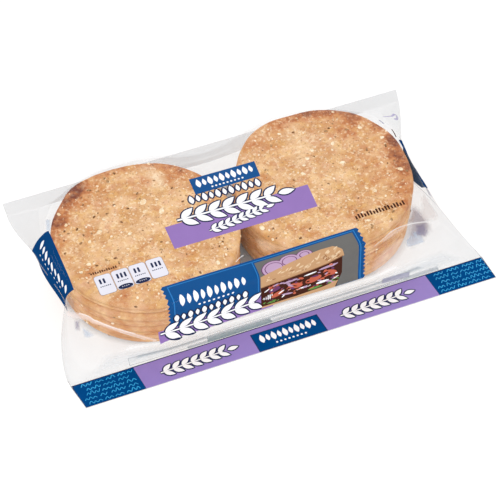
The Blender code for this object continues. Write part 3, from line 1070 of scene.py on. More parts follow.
def film_profile(station):
    """The points of one profile, each with how cloudy the film is there."""
    kind, where, value = station
    inner = [top_point(station, share) for share in TOP_SHARES]
    shoulder = top_point(station, 1.0)
    rim = seal_point(value, where) if kind == "straight" else rim_point(where, value)
    under = (*stadium_point(station, BOTTOM_RADIUS, 0.0), 0.0)
    foot_z = mix(rim[2], shoulder[2], wall_form(station, "foot_up"))
    foot = (*mix_point(shoulder[:2], rim[:2], wall_form(station, "foot_out")), foot_z)
    keel_z = rim[2] * wall_form(station, "keel_up")
    keel = (*mix_point(rim[:2], under[:2], wall_form(station, "keel_in")), keel_z)
    edge = flap_edge(rim)
    half = SEAL_THICKNESS / 2
    rims = [(*rim[:2], rim[2] + lift) for lift in (half, -half)]
    edges = [(*edge[:2], edge[2] + lift) for lift in (half, -half)]
    over = rounded_corner(inner[-1], shoulder, foot, SHOULDER_CUT, 8)
    bend = rounded_corner(shoulder, foot, rims[0], FOOT_CUT, 8)
    belly = rounded_corner(rims[1], keel, under, FOOT_CUT, 6)
    closing = [(*stadium_point(station, BOTTOM_RADIUS * share, 0.0), 0.0) for share in (0.6, 0.12)]
    wall = cloud_and_shade(*rim[:2])
    parts = (
        (inner, 0.0), (over, 0.1), (between(over[-1], bend[0], 10), wall * 0.65), (bend, wall),
        (between(bend[-1], rims[0], 6), wall * 1.15), ([rims[0]], 0.8),
        (between(rims[0], edges[0], 6) + edges + between(edges[1], rims[1], 4), 1.0), ([rims[1]], 0.8),
        (belly, wall * 0.8), ([under], 0.2), (closing, 0.1),
    )
    return [(point, cloud) for points, cloud in parts for point in points]


stations = film_stations()
print("places round the pack:", len(stations), "with", len(film_profile(stations[0])), "points each")

# %% [markdown]
# ## One shell of film
# The profiles are joined side by side into one skin. In the middle of the top and of the underside a long,
# narrow ring stays open, and strips close it.

# %% Film: one shell
def close_middle(bm, ring):
    """Fills the long narrow middle ring with strips. The ring starts in the middle of one end."""
    bm.faces.new((ring[0], ring[1], ring[-1]))
    for k in range(1, len(ring) // 2 - 1):
        bm.faces.new((ring[k], ring[k + 1], ring[-k - 1], ring[-k]))
    middle = len(ring) // 2
    bm.faces.new((ring[middle - 1], ring[middle], ring[middle + 1]))


def make_film_mesh():
    bm = bmesh.new()
    cloudy = bm.verts.layers.float.new("cloudy")
    rows = []
    for station in stations:
        row = []
        for point, cloud in film_profile(station):
            vert = bm.verts.new(Vector(point) + STACKS_MIDDLE)
            vert[cloudy] = cloud
            row.append(vert)
        rows.append(row)
    for here, after in zip(rows, rows[1:] + rows[:1]):
        for j in range(len(here) - 1):
            bm.faces.new((here[j], here[j + 1], after[j + 1], after[j]))
    start = STRAIGHT_STEPS + END_STEPS // 2
    turned = rows[start:] + rows[:start]
    close_middle(bm, [row[0] for row in turned])
    close_middle(bm, [row[-1] for row in turned])
    bmesh.ops.recalc_face_normals(bm, faces=bm.faces[:])
    mesh = bpy.data.meshes.new("film")
    bm.to_mesh(mesh)
    bm.free()
    mesh.shade_smooth()
    mesh.set_sharp_from_angle(angle=math.radians(50))
    return mesh


film_mesh = make_film_mesh()
print("film:", len(film_mesh.polygons), "faces")

# %% [markdown]
# ## Clear film
# The film is far thinner than a ray tracer likes, so it doesn't bend light. It lets it through a little
# dimmed, mirrors more of it at a slant, and is milky where it is stretched. Only what the camera sees
# directly is treated so. Every other ray passes, or the bread inside would lie in the film's shadow.

# %% Film material
FILM_CLEAR, FILM_MILKY = (0.985, 0.986, 0.988, 1), (0.875, 0.878, 0.882, 1)
GLOSS_AT_SLANT, GLOSS_LEAST = 0.32, 0.012
HAZE = 0.34


def film_material():
    material, tree, shader, place = new_material("clear_film")
    tree.nodes.remove(shader)
    cloudy = point_value(tree, "cloudy")
    creases = add_node(tree, "ShaderNodeTexNoise", {"Vector": place, "Scale": 1 / (22 * MM), "Detail": 3.0})
    bump = add_node(tree, "ShaderNodeBump", {
        "Height": creases.outputs[0], "Strength": 0.6, "Distance": 1.2 * MM,
    })

    # The clear film, with its gloss. On the inner side there is none, or it would count twice.
    through = colour_mix(tree, cloudy, FILM_CLEAR, FILM_MILKY)
    clear = add_node(tree, "ShaderNodeBsdfTransparent", {"Color": through})
    gloss = add_node(tree, "ShaderNodeBsdfGlossy", {
        "Color": (1, 1, 1, 1), "Roughness": 0.2, "Normal": bump.outputs[0],
    })
    facing = add_node(tree, "ShaderNodeLayerWeight", {"Normal": bump.outputs[0]}).outputs["Facing"]
    slant = times(tree, math_node(tree, "POWER", facing, 4.0), GLOSS_AT_SLANT)
    inner_side = tree.nodes.new("ShaderNodeNewGeometry").outputs["Backfacing"]
    outer_side = math_node(tree, "SUBTRACT", 1.0, inner_side)
    shine = times(tree, math_node(tree, "ADD", slant, GLOSS_LEAST), outer_side)
    glossy = add_node(tree, "ShaderNodeMixShader", {0: shine, 1: clear.outputs[0], 2: gloss.outputs[0]})

    # The milky haze, in soft patches.
    haze = add_node(tree, "ShaderNodeBsdfDiffuse", {"Color": (0.76, 0.76, 0.77, 1)})
    clouds = add_node(tree, "ShaderNodeTexNoise", {"Vector": place, "Scale": 1 / (30 * MM), "Detail": 2.0})
    amount = times(tree, cloudy, times(tree, clouds.outputs[0], HAZE))
    seen = add_node(tree, "ShaderNodeMixShader", {0: amount, 1: glossy.outputs[0], 2: haze.outputs[0]})

    # All rays but the camera's pass.
    bare = add_node(tree, "ShaderNodeBsdfTransparent", {"Color": (1, 1, 1, 1)})
    camera_ray = tree.nodes.new("ShaderNodeLightPath").outputs["Is Camera Ray"]
    both = add_node(tree, "ShaderNodeMixShader", {0: camera_ray, 1: bare.outputs[0], 2: seen.outputs[0]})
    tree.links.new(both.outputs[0], tree.nodes["Material Output"].inputs["Surface"])
    return material


film_mesh.materials.append(film_material())
film = add_piece("film", film_mesh)
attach(film, "root")
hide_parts("bag")
print("film material:", len(film_mesh.materials[0].node_tree.nodes), "nodes")

# %% [markdown]
# ## The print
# The bag is printed in flat inks. Each ink is one piece: a very thin skin just outside the film, cut to its
# shapes. A shape is drawn flat, in mm, on a sheet such as the top or the front. It is filled with small
# triangles, so that it can bend, and every point is then sent along a ray onto the film. Where inks lie
# over each other, each later layer lies a little further out, and a layer far below 0 lies on the film's
# inner side. The shapes are plain fields, leaves, ears of grain, dots and short strokes.

# %% Sheets: from flat mm to a ray that finds the film
film_surface = BVHTree.FromPolygons(
    [vert.co for vert in film_mesh.vertices], [tuple(face.vertices) for face in film_mesh.polygons]
)
INK_LIFT, INK_STEP = 0.12 * MM, 0.07 * MM     # the first ink over the film, and one ink over another
FRONT_LABEL_TOP_Y = -36.0           # mm, where the front label starts on the pack's top
CORNER_Y, CORNER_Z = -43.5, 33.5    # mm, inside the film's front shoulder
CORNER_ARC = 7.2                    # mm along the film round that shoulder
END_LABEL_X = {-1: -111.6, 1: 102.8}   # mm, where the end labels start on the pack's top
END_AXIS = 85.0                     # mm, inside either end
END_LABEL_LOW, END_LABEL_HEIGHT = 9.0, 28.0


def cast(start, aim):
    place, normal, _, _ = film_surface.ray_cast(start, aim)
    if place is None:
        raise ValueError(f"a print point misses the film: {start} {aim}")
    return place, normal


def above_sheet(u, v):
    """Flat mm are the pack's own x and y, and the ray comes down from above."""
    return Vector((u, v, 60)) * MM, Vector((0, 0, -1))


def front_sheet(u, v):
    """u is the pack's x. v runs down the label: over the top, round the shoulder and down the wall."""
    on_top = FRONT_LABEL_TOP_Y - CORNER_Y
    if v < on_top:
        return Vector((u, FRONT_LABEL_TOP_Y - v, CORNER_Z)) * MM, Vector((0, 0, 1))
    if v < on_top + CORNER_ARC:
        lean = (v - on_top) / CORNER_ARC * math.pi / 2
        return Vector((u, CORNER_Y, CORNER_Z)) * MM, Vector((0, -math.sin(lean), math.cos(lean)))
    return Vector((u, CORNER_Y, CORNER_Z - (v - on_top - CORNER_ARC))) * MM, Vector((0, -1, 0))


def end_sheet(sign):
    """u is the pack's y. v runs outwards from a line on the top, over the shoulder and down the end."""
    def sheet(u, v):
        middle = Vector((sign * END_AXIS, u, 20)) * MM
        upper = cast(Vector((END_LABEL_X[sign], u, 60)) * MM, Vector((0, 0, -1)))[0] - middle
        lower = cast(Vector((sign * END_AXIS, u, END_LABEL_LOW)) * MM, Vector((sign, 0, 0)))[0] - middle
        angles = [math.atan2(reach.z, abs(reach.x)) for reach in (upper, lower)]
        lean = mix(*angles, v / END_LABEL_HEIGHT)
        return middle, Vector((sign * math.cos(lean), 0, math.sin(lean)))
    return sheet


def drum_sheet(side):
    """u is the direction from a stack's middle in degrees, about 1 mm each, and v is the height."""
    middle = (STACKS_MIDDLE + STACK_CENTRES[side]) / MM

    def sheet(u, v):
        angle = math.radians(u)
        return Vector((middle.x, middle.y, v)) * MM, Vector((math.cos(angle), math.sin(angle), 0))
    return sheet


def on_film(sheet, u, v, layer):
    """Where a flat point lands on the film, lifted by its layer."""
    place, normal = cast(*sheet(u, v))
    return place + normal * (INK_LIFT + INK_STEP * layer)


print("a print over the origin lies at", round(on_film(above_sheet, 0, 0, 0).z / MM, 2), "mm")

# %% [markdown]
# ## Flat shapes
# Every print is made of outlines: boxes, ovals, pointed leaves, and ribbons along a line. An outline can be
# turned, moved, or grown to give a dark edge around a light shape.

# %% Flat shapes, in mm
def rectangle(left, bottom, right, top):
    return [(left, bottom), (right, bottom), (right, top), (left, top)]


def turned(points, angle, at=(0, 0)):
    """Points turned by an angle in degrees and moved."""
    c, s = math.cos(math.radians(angle)), math.sin(math.radians(angle))
    return [(at[0] + x * c - y * s, at[1] + x * s + y * c) for x, y in points]


def oval(at, width, height, count=20):
    steps = [math.tau * k / count for k in range(count)]
    return [(at[0] + width / 2 * math.cos(a), at[1] + height / 2 * math.sin(a)) for a in steps]


def leaf(length, width, count=9):
    """A pointed leaf from (0, 0) along +X, fullest a little before its middle."""
    half = width / 2
    upper = [(length * k / count, half * math.sin(math.pi * (k / count) ** 0.85)) for k in range(count + 1)]
    lower = [(x, -y) for x, y in reversed(upper[1:-1])]
    return upper + lower


def grown(points, by):
    """The outline moved outwards by a distance. It suits shapes without sharp notches."""
    area = sum(a[0] * b[1] - b[0] * a[1] for a, b in zip(points, points[1:] + points[:1]))
    sign = 1 if area > 0 else -1
    moved = []
    for k, (x, y) in enumerate(points):
        (x0, y0), (x1, y1) = points[k - 1], points[(k + 1) % len(points)]
        dx, dy = x1 - x0, y1 - y0
        length = math.hypot(dx, dy) or 1.0
        moved.append((x + sign * dy / length * by, y - sign * dx / length * by))
    return moved


def curve(points, steps=6):
    """A smooth line through points."""
    line = []
    for k in range(len(points) - 1):
        near = [points[min(max(k + j, 0), len(points) - 1)] for j in (-1, 0, 1, 2)]
        for step in range(steps):
            line.append(tuple(spline(*(point[axis] for point in near), step / steps) for axis in (0, 1)))
    return line + [points[-1]]


def stroke(line, width):
    """A ribbon of even width along a line."""
    left, right = [], []
    for k, (x, y) in enumerate(line):
        (x0, y0), (x1, y1) = line[max(k - 1, 0)], line[min(k + 1, len(line) - 1)]
        length = math.hypot(x1 - x0, y1 - y0)
        nx, ny = -(y1 - y0) / length * width / 2, (x1 - x0) / length * width / 2
        left.append((x + nx, y + ny))
        right.append((x - nx, y - ny))
    return left + right[::-1]


print("a leaf has", len(leaf(6.0, 3.0)), "corners")

# %% [markdown]
# ## From outline to skin
# An outline alone can't lie on a curved film. It gets points all along its edge and a grid of points
# inside, and a Delaunay triangulation joins them into even triangles.

# %% Laying a shape on the film
EDGE_LENGTH = 1.0                   # mm between points along an edge
FILL_SPACING = 1.25                 # mm between points inside a shape
ink_shapes = {}                     # the shapes of every ink, as (sheet, outline, layer)


def finer(points, longest=EDGE_LENGTH):
    """The outline with points at most so far apart."""
    out = []
    for a, b in zip(points, points[1:] + points[:1]):
        steps = max(1, math.ceil(math.dist(a, b) / longest))
        out += [(mix(a[0], b[0], k / steps), mix(a[1], b[1], k / steps)) for k in range(steps)]
    return out


def inside(points, x, y):
    """Counts how often a line from the point to the right crosses the outline."""
    hit = False
    for (x0, y0), (x1, y1) in zip(points, points[1:] + points[:1]):
        if (y0 > y) != (y1 > y) and x < (x1 - x0) * (y - y0) / (y1 - y0) + x0:
            hit = not hit
    return hit


def fill(points, spacing):
    """Triangles that fill an outline, with points spread inside it."""
    edge = finer(points, min(EDGE_LENGTH, spacing * 1.5))
    filling = []
    xs, ys = [p[0] for p in edge], [p[1] for p in edge]
    shy = grown(edge, -0.4 * spacing)
    for i in range(int((max(xs) - min(xs)) / spacing)):
        for j in range(int((max(ys) - min(ys)) / spacing)):
            x, y = min(xs) + (i + 0.5) * spacing, min(ys) + (j + 0.5) * spacing
            if inside(shy, x, y):
                filling.append((x, y))
    count = len(edge)
    loop = [(k, (k + 1) % count) for k in range(count)]
    verts, _, faces, *_ = geometry.delaunay_2d_cdt([Vector(p) for p in edge + filling], loop, [], 1, 1e-5)
    return verts, faces


def ink(colour, sheet, points, layer=0):
    """Adds one filled shape to an ink."""
    ink_shapes.setdefault(colour, []).append((sheet, points, layer))


def count_shapes(part):
    print(part, "done:", sum(len(shapes) for shapes in ink_shapes.values()), "shapes so far")


print("a leaf is filled with", len(fill(leaf(6.0, 3.0), FILL_SPACING)[1]), "triangles")

# %% [markdown]
# ## Motifs
# Three motifs come back all over the pack, from large to small: ears of grain, upright leaves in a row, tall
# and short by turns, and rows of dots. They are made once, as helpers, and each label sets their size.

# %% Motifs
def ear_of_grain(sheet, start, length, angle, layer, pairs=7, edge=0.9):
    """Pairs of plump grains along a stem, white with a navy edge. The grains keep clear of each other."""
    pitch = length * 0.84 / pairs
    grain = leaf(pitch * 1.2, pitch * 0.52)
    shapes = [stroke([(length * k / 16, 0) for k in range(14)], pitch * 0.14)]
    for k in range(pairs):
        x = length * 0.04 + pitch * k
        for side in (-1, 1):
            shapes.append(turned(grain, side * 33, (x, side * pitch * 0.10)))
    shapes.append(turned(grain, 0, (length * 0.04 + pitch * pairs, 0)))
    for shape in shapes:
        ink("navy", sheet, turned(grown(shape, edge), angle, start), layer)
    for shape in shapes:
        ink("white", sheet, turned(shape, angle, start), layer + 1)


def row_of_leaves(sheet, start, stop, count, height, layer, edge=0.0):
    """Upright white leaves in a row, tall and short by turns, with a navy edge where one is asked for."""
    angle = math.degrees(math.atan2(stop[1] - start[1], stop[0] - start[0]))
    for k in range(count):
        share = (k + 0.5) / count
        tall = height * (1.0 if k % 2 == 0 else 0.8)
        x, y = mix_point(start, stop, share)
        flat = [(px - tall / 2, py) for px, py in leaf(tall, tall * 0.46)]
        if edge:
            ink("navy", sheet, turned(grown(flat, edge), angle + 90, (x, y)), layer)
        ink("white", sheet, turned(flat, angle + 90, (x, y)), layer + 1 if edge else layer)


def row_of_dots(sheet, start, stop, count, size, layer, colour="white"):
    for k in range(count):
        at = mix_point(start, stop, (k + 0.5) / count)
        ink(colour, sheet, oval(at, size, size, 8), layer)


def rounded_box(left, bottom, right, top, radius):
    corners = ((right, top, 0), (left, top, 90), (left, bottom, 180), (right, bottom, 270))
    middle_x, middle_y = (left + right) / 2, (bottom + top) / 2
    points = []
    for x, y, turn in corners:
        inward_x, inward_y = math.copysign(radius, middle_x - x), math.copysign(radius, middle_y - y)
        for k in range(4):
            a = math.radians(turn + 30 * k)
            points.append((x + inward_x + radius * math.cos(a), y + inward_y + radius * math.sin(a)))
    return points


print("a rounded box has", len(rounded_box(0, 0, 4, 2, 0.5)), "corners")

# %% [markdown]
# ## The label on top
# A blue field lies across the gap between the stacks, and a wide purple strip in front of it. The white
# motifs run out over their edges.

# %% Top label
ink("blue", above_sheet, [(-24.2, 21.3), (16.0, 21.0), (17.0, 33.2), (-23.7, 33.8)])
row_of_leaves(above_sheet, (-21.5, 28.9), (14.5, 28.4), 10, 6.6, 1)
row_of_dots(above_sheet, (-14, 23.7), (7, 23.5), 9, 1.3, 1)
ink("purple", above_sheet, [(-49.7, -12.6), (37.8, -13.0), (38.9, 4.7), (-49.4, 4.5)])
row_of_leaves(above_sheet, (-30, 18.4), (14.5, 16.8), 11, 6.4, 1, 0.9)
ear_of_grain(above_sheet, (-41, 6.6), 70, -2.0, 2)
ear_of_grain(above_sheet, (-26.5, -7.4), 42, 7.0, 2, 8, 0.6)
count_shapes("top label")

# %% [markdown]
# ## The front label
# It starts on the top and hangs down over the shoulder and the wall. Its short edges are cut in small
# teeth. A thin light-blue line frames it, a purple foot runs out to the left, and its right half is a grey
# picture panel.

# %% Front label
LABEL_LEFT, LABEL_RIGHT = -66.0, 51.5
LABEL_HEIGHT, FOOT_LOW = 38.6, 39.2
TEETH, TOOTH = 12, 1.3


def deckled(left, right, top, bottom):
    """A label outline with small cut teeth down both short edges."""
    points = []
    for k in range(TEETH * 2 + 1):
        points.append((right + (TOOTH if k % 2 else 0.0), mix(top, bottom, k / (TEETH * 2))))
    for k in range(TEETH * 2 + 1):
        points.append((left - (TOOTH if k % 2 else 0.0), mix(bottom, top, k / (TEETH * 2))))
    return points


ink("blue", front_sheet, deckled(LABEL_LEFT, LABEL_RIGHT, 0.0, LABEL_HEIGHT))
ink("grey", front_sheet, rectangle(-11.8, 2.6, 48.2, LABEL_HEIGHT - 0.2), 1)
for border in (
    (-63.6, 1.3, 49.8, 1.8), (-63.6, 1.8, -63.0, 27), (49.2, 1.8, 49.8, LABEL_HEIGHT - 0.3),
    (-13.1, 1.8, -12.6, 28),
):
    ink("sky", front_sheet, rectangle(*border), 1)
row_of_leaves(front_sheet, (-60.5, 11.8), (-19.5, 11.8), 10, 6.6, 2)
row_of_dots(front_sheet, (-50, 17.6), (-27, 17.6), 8, 1.5, 2)
row_of_leaves(front_sheet, (-64.5, 24.0), (-19, 22.6), 11, 6.2, 3, 0.9)
ink("purple", front_sheet, [(-73.6, 31.5), (-4.5, 28.0), (-4.5, FOOT_LOW), (-73.6, FOOT_LOW)], 2)
ear_of_grain(front_sheet, (-72.5, 33.6), 70, -2.0, 4)
count_shapes("front label")

# %% [markdown]
# ## Its picture
# The panel shows a filled flatbread on grey, with slices of onion behind it, in flat fields of colour. Many
# small blobs, strewn with a fixed seed, stand for crumb and filling. From afar they read as a print.

# %% Picture
PICTURE_RIGHT = 38.5


def picture(colour, points, layer):
    """A shape of the picture. Its x runs to the left from the filled bread's right end."""
    ink(colour, front_sheet, [(PICTURE_RIGHT - x, y) for x, y in points], layer)


for x, y, long, wide in ((31.0, 8.0, 13.0, 8.4), (41.0, 9.6, 15.0, 10.2), (21.6, 7.2, 10.0, 6.4)):
    for layer, narrower in ((2, 0.0), (3, 0.7), (4, 2.6), (5, 3.3)):
        colour = "plum" if layer in (2, 4) else "lilac"
        picture(colour, oval((x, y), long - narrower * 1.5, wide - narrower, 22), layer)
picture("dark", [(0.5, 14), (12, 17), (24, 18.4), (36, 19.4), (50, 20.6), (50, 38), (4, 38), (0.5, 28)], 5)
picture("tan", [
    (-0.6, 14.0), (0.2, 10.6), (4.6, 8.0), (12, 7.6), (20, 8.0), (31, 9.4), (40, 10.8), (50, 12.4),
    (50, 21.4), (40, 20.6), (31, 19.8), (18.4, 18.4), (9.2, 16.8),
], 6)
picture("tan", [(2.6, 33.4), (12, 35.6), (28, 36.9), (50, 37.4), (50, 38.3), (5.0, 38.3)], 7)


def bread_edge(x, lower):
    """Roughly where the picture's upper bread starts or ends at x."""
    return mix(14.6, 21.4, x / 50) if lower else mix(7.6, 12.4, x / 50)


draw = random.Random(7)
for k in range(70):
    x = draw.uniform(1.5, 48.0)
    y = draw.uniform(bread_edge(x, False) + 1.2, bread_edge(x, True) - 1.0)
    colour = draw.choice(("cream", "cream", "crumb", "tan_light"))
    blob = oval((0, 0), draw.uniform(0.9, 3.2), draw.uniform(0.5, 1.1), 9)
    picture(colour, turned(blob, draw.uniform(0, 40), (x, y)), 7)
LOWER_EDGE = [(0.2, 13.6), (9.4, 16.6), (18.4, 18.2), (31, 19.6), (40, 20.4), (49.6, 21.2)]
picture("crumb", stroke(LOWER_EDGE, 0.7), 8)
for colour, x, y, long, wide, turn in (
    ("lilac", 9.0, 19.6, 12.0, 1.8, 8), ("white", 20.0, 21.6, 8.0, 1.2, 8),
    ("lilac", 32.0, 23.0, 9.0, 1.8, 6), ("coral", 8.0, 25.0, 9.0, 4.6, -20),
    ("coral", 18.0, 26.8, 10.0, 5.0, 14), ("coral", 29.0, 28.0, 9.0, 4.4, -12),
    ("plum", 42.0, 26.4, 8.0, 3.0, 10), ("white", 24.0, 31.6, 9.0, 1.5, 6),
    ("coral", 40.0, 30.8, 8.0, 3.6, 20), ("lilac", 34.0, 33.0, 7.0, 1.4, -8),
    ("white", 12.5, 31.2, 8.0, 2.0, 4), ("leaf", 6.0, 32.8, 8.0, 2.8, 16),
    ("leaf", 17.0, 34.6, 9.0, 1.8, 4), ("leaf", 44.0, 35.6, 10.0, 2.0, -4),
):
    picture(colour, turned(oval((0, 0), long, wide, 16), turn, (x, y)), 6)
for k in range(76):
    x = draw.uniform(2.5, 48.0)
    y = draw.uniform(bread_edge(x, True) + 1.4, 35.4)
    colour = draw.choice(("coral", "coral", "rose", "plum", "lilac", "white", "dark", "dark"))
    blob = oval((0, 0), draw.uniform(1.2, 5.0), draw.uniform(0.6, 1.7), 9)
    picture(colour, turned(blob, draw.uniform(-35, 50), (x, y)), 7)
count_shapes("picture")

# %% [markdown]
# ## The end labels
# Both ends carry a blue label that starts on the top and runs down the end. The right one has a copy on the
# film's inner side, because its back is seen through the clear top. A lilac patch on that inner side is
# painted shadow.

# %% End labels
INNER_SIDE = -5                     # the layer of print that is seen from inside
# A painted shadow, laid on the inner side of the right end label.
INNER_SHADOW = [(-18.4, 2.0), (-17.6, 6.5), (-11.0, 13.0), (-16.0, 14.0), (-23.0, 10.0), (-23.0, 3.0)]
for sign, colour, label in (
    (-1, "end_blue", [(-18.0, 0.0), (27.0, 0.0), (35.0, 28.0), (-10.0, 28.0)]),
    (1, "deep_blue", [(-18.6, 0.0), (17.5, 0.0), (17.5, 14.6), (-9.4, 14.6), (-17.6, 6.0)]),
):
    sheet = end_sheet(sign)
    (front, _), (back, _) = label[:2]
    ink(colour, sheet, label)
    if sign == 1:
        ink(colour, sheet, label, INNER_SIDE)
    row_of_leaves(sheet, (front + 4, 7.0), (back - 2, 7.0), 9, 6.6, 1)
    row_of_dots(sheet, (front + 12, 12.8), (back - 4, 12.8), 8, 1.3, 1)
# The painted shadow goes on the film's inner side.
ink("far_lilac_and_shadow", end_sheet(1), INNER_SHADOW, INNER_SIDE)
count_shapes("end labels")

# %% [markdown]
# ## The band
# The front seal is printed from end to end: violet, with a blue field at either end and one in the middle.
# Rows of loose wavy strokes fill the blue ends. A generator with a fixed seed draws them, so they come out
# the same every time.

# %% The band on the front seal
BAND_TOP, BAND_BOTTOM = -59.0, -77.0
for name, left_top, left_bottom, right_top, right_bottom in (
    ("edge_blue", -129.2, -126.4, -92.8, -91.2),
    ("violet", -92.8, -91.2, 86.6, 87.5),
    ("edge_blue", 86.6, 87.5, 123.3, 123.3),
):
    ink(name, above_sheet, [
        (left_bottom, BAND_BOTTOM), (right_bottom, BAND_BOTTOM), (right_top, BAND_TOP), (left_top, BAND_TOP),
    ])
ink("band_blue", above_sheet, [(-126.1, -76.7), (-91.5, -76.7), (-93.0, -59.3), (-128.8, -59.3)], 1)
ink("band_blue", above_sheet, [(87.8, -76.7), (122.9, -76.7), (122.9, -59.3), (87.0, -59.3)], 1)
ink("navy", above_sheet, stroke([(-128.6, -59.2), (-60, -59.2), (20, -59.2), (123.0, -59.2)], 0.6), 3)
ink("edge_blue", above_sheet, [(-23.6, -77.0), (18.0, -77.0), (17.0, -62.6), (-24.0, -62.6)], 1)
ink("band_blue", above_sheet, [(-22.9, -76.5), (17.3, -76.5), (16.3, -63.2), (-23.3, -63.2)], 2)
row_of_leaves(above_sheet, (-20.5, -68.0), (14.5, -68.0), 10, 6.6, 3)
row_of_dots(above_sheet, (-13, -73.6), (7, -73.6), 8, 1.3, 3)
ear_of_grain(above_sheet, (-80, -69.4), 46, 2.0, 2, 7, 0.75)
ear_of_grain(above_sheet, (29, -69.4), 46, 2.0, 2, 7, 0.75)


def looped_pattern(left, right, seed):
    """Rows of light-blue loops and hooks of uneven height, like seams drawn by a loose hand."""
    draw = random.Random(seed)
    for row in range(5):
        y = BAND_BOTTOM + 1.8 + row * 3.4
        x = left + draw.uniform(0, 5)
        while x < right - 3:
            stop = min(x + draw.uniform(4.0, 9.0), right)
            count = max(3, round((stop - x) / 1.25))
            line = []
            for k in range(count + 1):
                tall = draw.uniform(0.7, 1.3) if draw.random() < 0.75 else draw.uniform(1.6, 2.1)
                across = mix(x, stop, k / count) + draw.uniform(-0.2, 0.2)
                line.append((across, y + (tall if k % 2 else -0.35)))
            ink("teal", above_sheet, stroke(curve(line, 4), draw.uniform(0.42, 0.6)), 2)
            x = stop + draw.uniform(0.8, 2.2)


looped_pattern(-127.0, -94.0, 5)
looped_pattern(88.6, 123.0, 8)
count_shapes("band")

# %% [markdown]
# ## Small prints over the bread
# Four small white boxes with bars and dots lie over the left stack, and there are two lines of small dark
# marks, one over either stack.

# %% Small prints on the bread
BOXES = ((-99.4, -15.4), (-89.1, -15.2), (-78.8, -15.0), (-68.5, -14.8))
for k, (left, top) in enumerate(BOXES):
    box = rounded_box(left, top - 14.0, left + 9.6, top, 1.5)
    ink("slate", above_sheet, grown(box, 0.22))
    ink("pale", above_sheet, box, 1)
    for j in range(2 + k % 2):
        bar = left + 2.2 + j * 2.2
        ink("navy", above_sheet, rounded_box(bar, top - 6.2, bar + 1.2, top - 2.6, 0.4), 2)
    row_of_dots(above_sheet, (left + 1.4, top - 8.2), (left + 8.0, top - 8.1), 6, 0.8, 2, "navy")
    if k in (1, 2):
        ink("navy", above_sheet, oval((left + 4.8, top - 12.6), 8.8, 3.4), 2)
        row_of_dots(above_sheet, (left + 2.4, top - 12.4), (left + 7.2, top - 12.4), 4, 0.6, 3, "pale")


def small_dashes(left, y, right, count, height):
    """A line of small dark dashes, every third one shorter."""
    dash = (right - left) / count * 0.6
    for k in range(count):
        x = mix(left, right, k / count)
        ink("dark", above_sheet, rectangle(x, y, x + dash, y + height * (1.0 if k % 3 else 0.7)))


small_dashes(-100.0, -13.4, -84.0, 12, 1.7)
small_dashes(54.5, -30.4, 86.0, 17, 3.4)
count_shapes("small prints")

# %% [markdown]
# ## Folds, painted light and what shines through
# The film's main folds are painted highlights and soft veils of painted sheen over the stacks' shoulders.
# The far and lower sides are printed too, and their colours show through the clear film as soft blue and
# lilac blots. Brown veils are painted shadow beside the folds, a warm veil is painted light on the right
# stack's shaded side by the gap, a pinkish grey veil is painted shade and reflection beside the right
# stack, and a dark grey veil lies over the right stack's front right. Nearly all of these are inks with a
# soft edge, laid just over the film.

# %% Folds in the film, painted light and shade on it, and print that shows through from its far sides
left_drum, right_drum = drum_sheet("left"), drum_sheet("right")
HOOK = [
    (114.0, 50.2), (116.0, 52.4), (117.6, 53.6), (118.6, 52.8), (118.0, 50.6), (116.2, 48.8), (114.4, 47.8),
]
ink("mark", above_sheet, stroke(curve([(105.4, 45.1), (110.4, 48.2), (114.6, 50.6)]), 0.7))
ink("mark", above_sheet, stroke(curve(HOOK), 1.25), 1)
ink("strip_lilac", above_sheet, stroke([(99.0, 37.4), (99.6, 35.0), (100.2, 32.8)], 1.6))
ink("dark", above_sheet, stroke([(102.7, 27.4), (102.6, 23.6), (102.2, 19.9)], 0.6))
ink("far_blue", above_sheet, [(-110.3, 38.2), (-107.7, 34.3), (-110.6, 25.5), (-112.9, 27.9)])

RIGHT_FOLD = [
    (277, 33.0), (280, 34.7), (287.6, 37.0), (295.2, 36.5), (304.1, 33.3), (311.2, 29.8), (314, 27.6),
]
RIGHT_FOLD_LOWER = [(298.5, 33.2), (291.0, 33.4), (283.8, 32.3)]
# The right fold: a painted highlight along it, painted sheen under it, and painted sheen over the stack's
# side below.
ink("painted_highlight", right_drum, stroke(curve(RIGHT_FOLD), 0.85), 3)
ink("rose_painted_sheen", right_drum, curve(RIGHT_FOLD[1:5]) + RIGHT_FOLD_LOWER, 1)
ink("soft_painted_sheen", right_drum, [
    (274, 12), (276, 22), (283.8, 28), (292, 31.5), (299, 29), (298, 20), (290, 10), (280, 6),
], 1)
# Painted light on the right stack's side, which lies in shade by the gap.
ink("warm_painted_light", above_sheet, [
    (-5.5, -22), (-3, -21.5), (3, -27), (8, -33), (9, -35.8), (1, -35.8), (-5, -33.5), (-6.3, -27),
])
ink("grey_veil", above_sheet, [
    (86.5, -31), (92.5, -32.5), (98.5, -39), (98, -44), (92.4, -46.5), (83, -48.5), (77.5, -46), (82.5, -39),
], 1)
# Painted shade and reflection on the film beside the right stack.
ink("pink_shade_and_reflection", right_drum, [
    (321.7, 37.6), (327.2, 35.1), (324.6, 28.6), (322.2, 22.9), (314.2, 27.7), (306.2, 33.0),
], 1)
# Painted shadow between the bread and the right fold.
ink("brown_painted_shadow", right_drum, [(309.8, 37.8), (315.5, 37.8), (310.6, 35.6), (305.4, 32.8), (299.2, 35.8)], 2)
ink("far_lilac_and_shadow", right_drum, [(306.0, 31.8), (311.5, 29.4), (310.0, 24.2), (307.2, 22.6), (303.0, 26.6)], 2)
ink("far_blue", right_drum, [(303.0, 29.4), (307.0, 27.4), (306.0, 20.4), (297.5, 20.6), (297.0, 25.4)], 1)

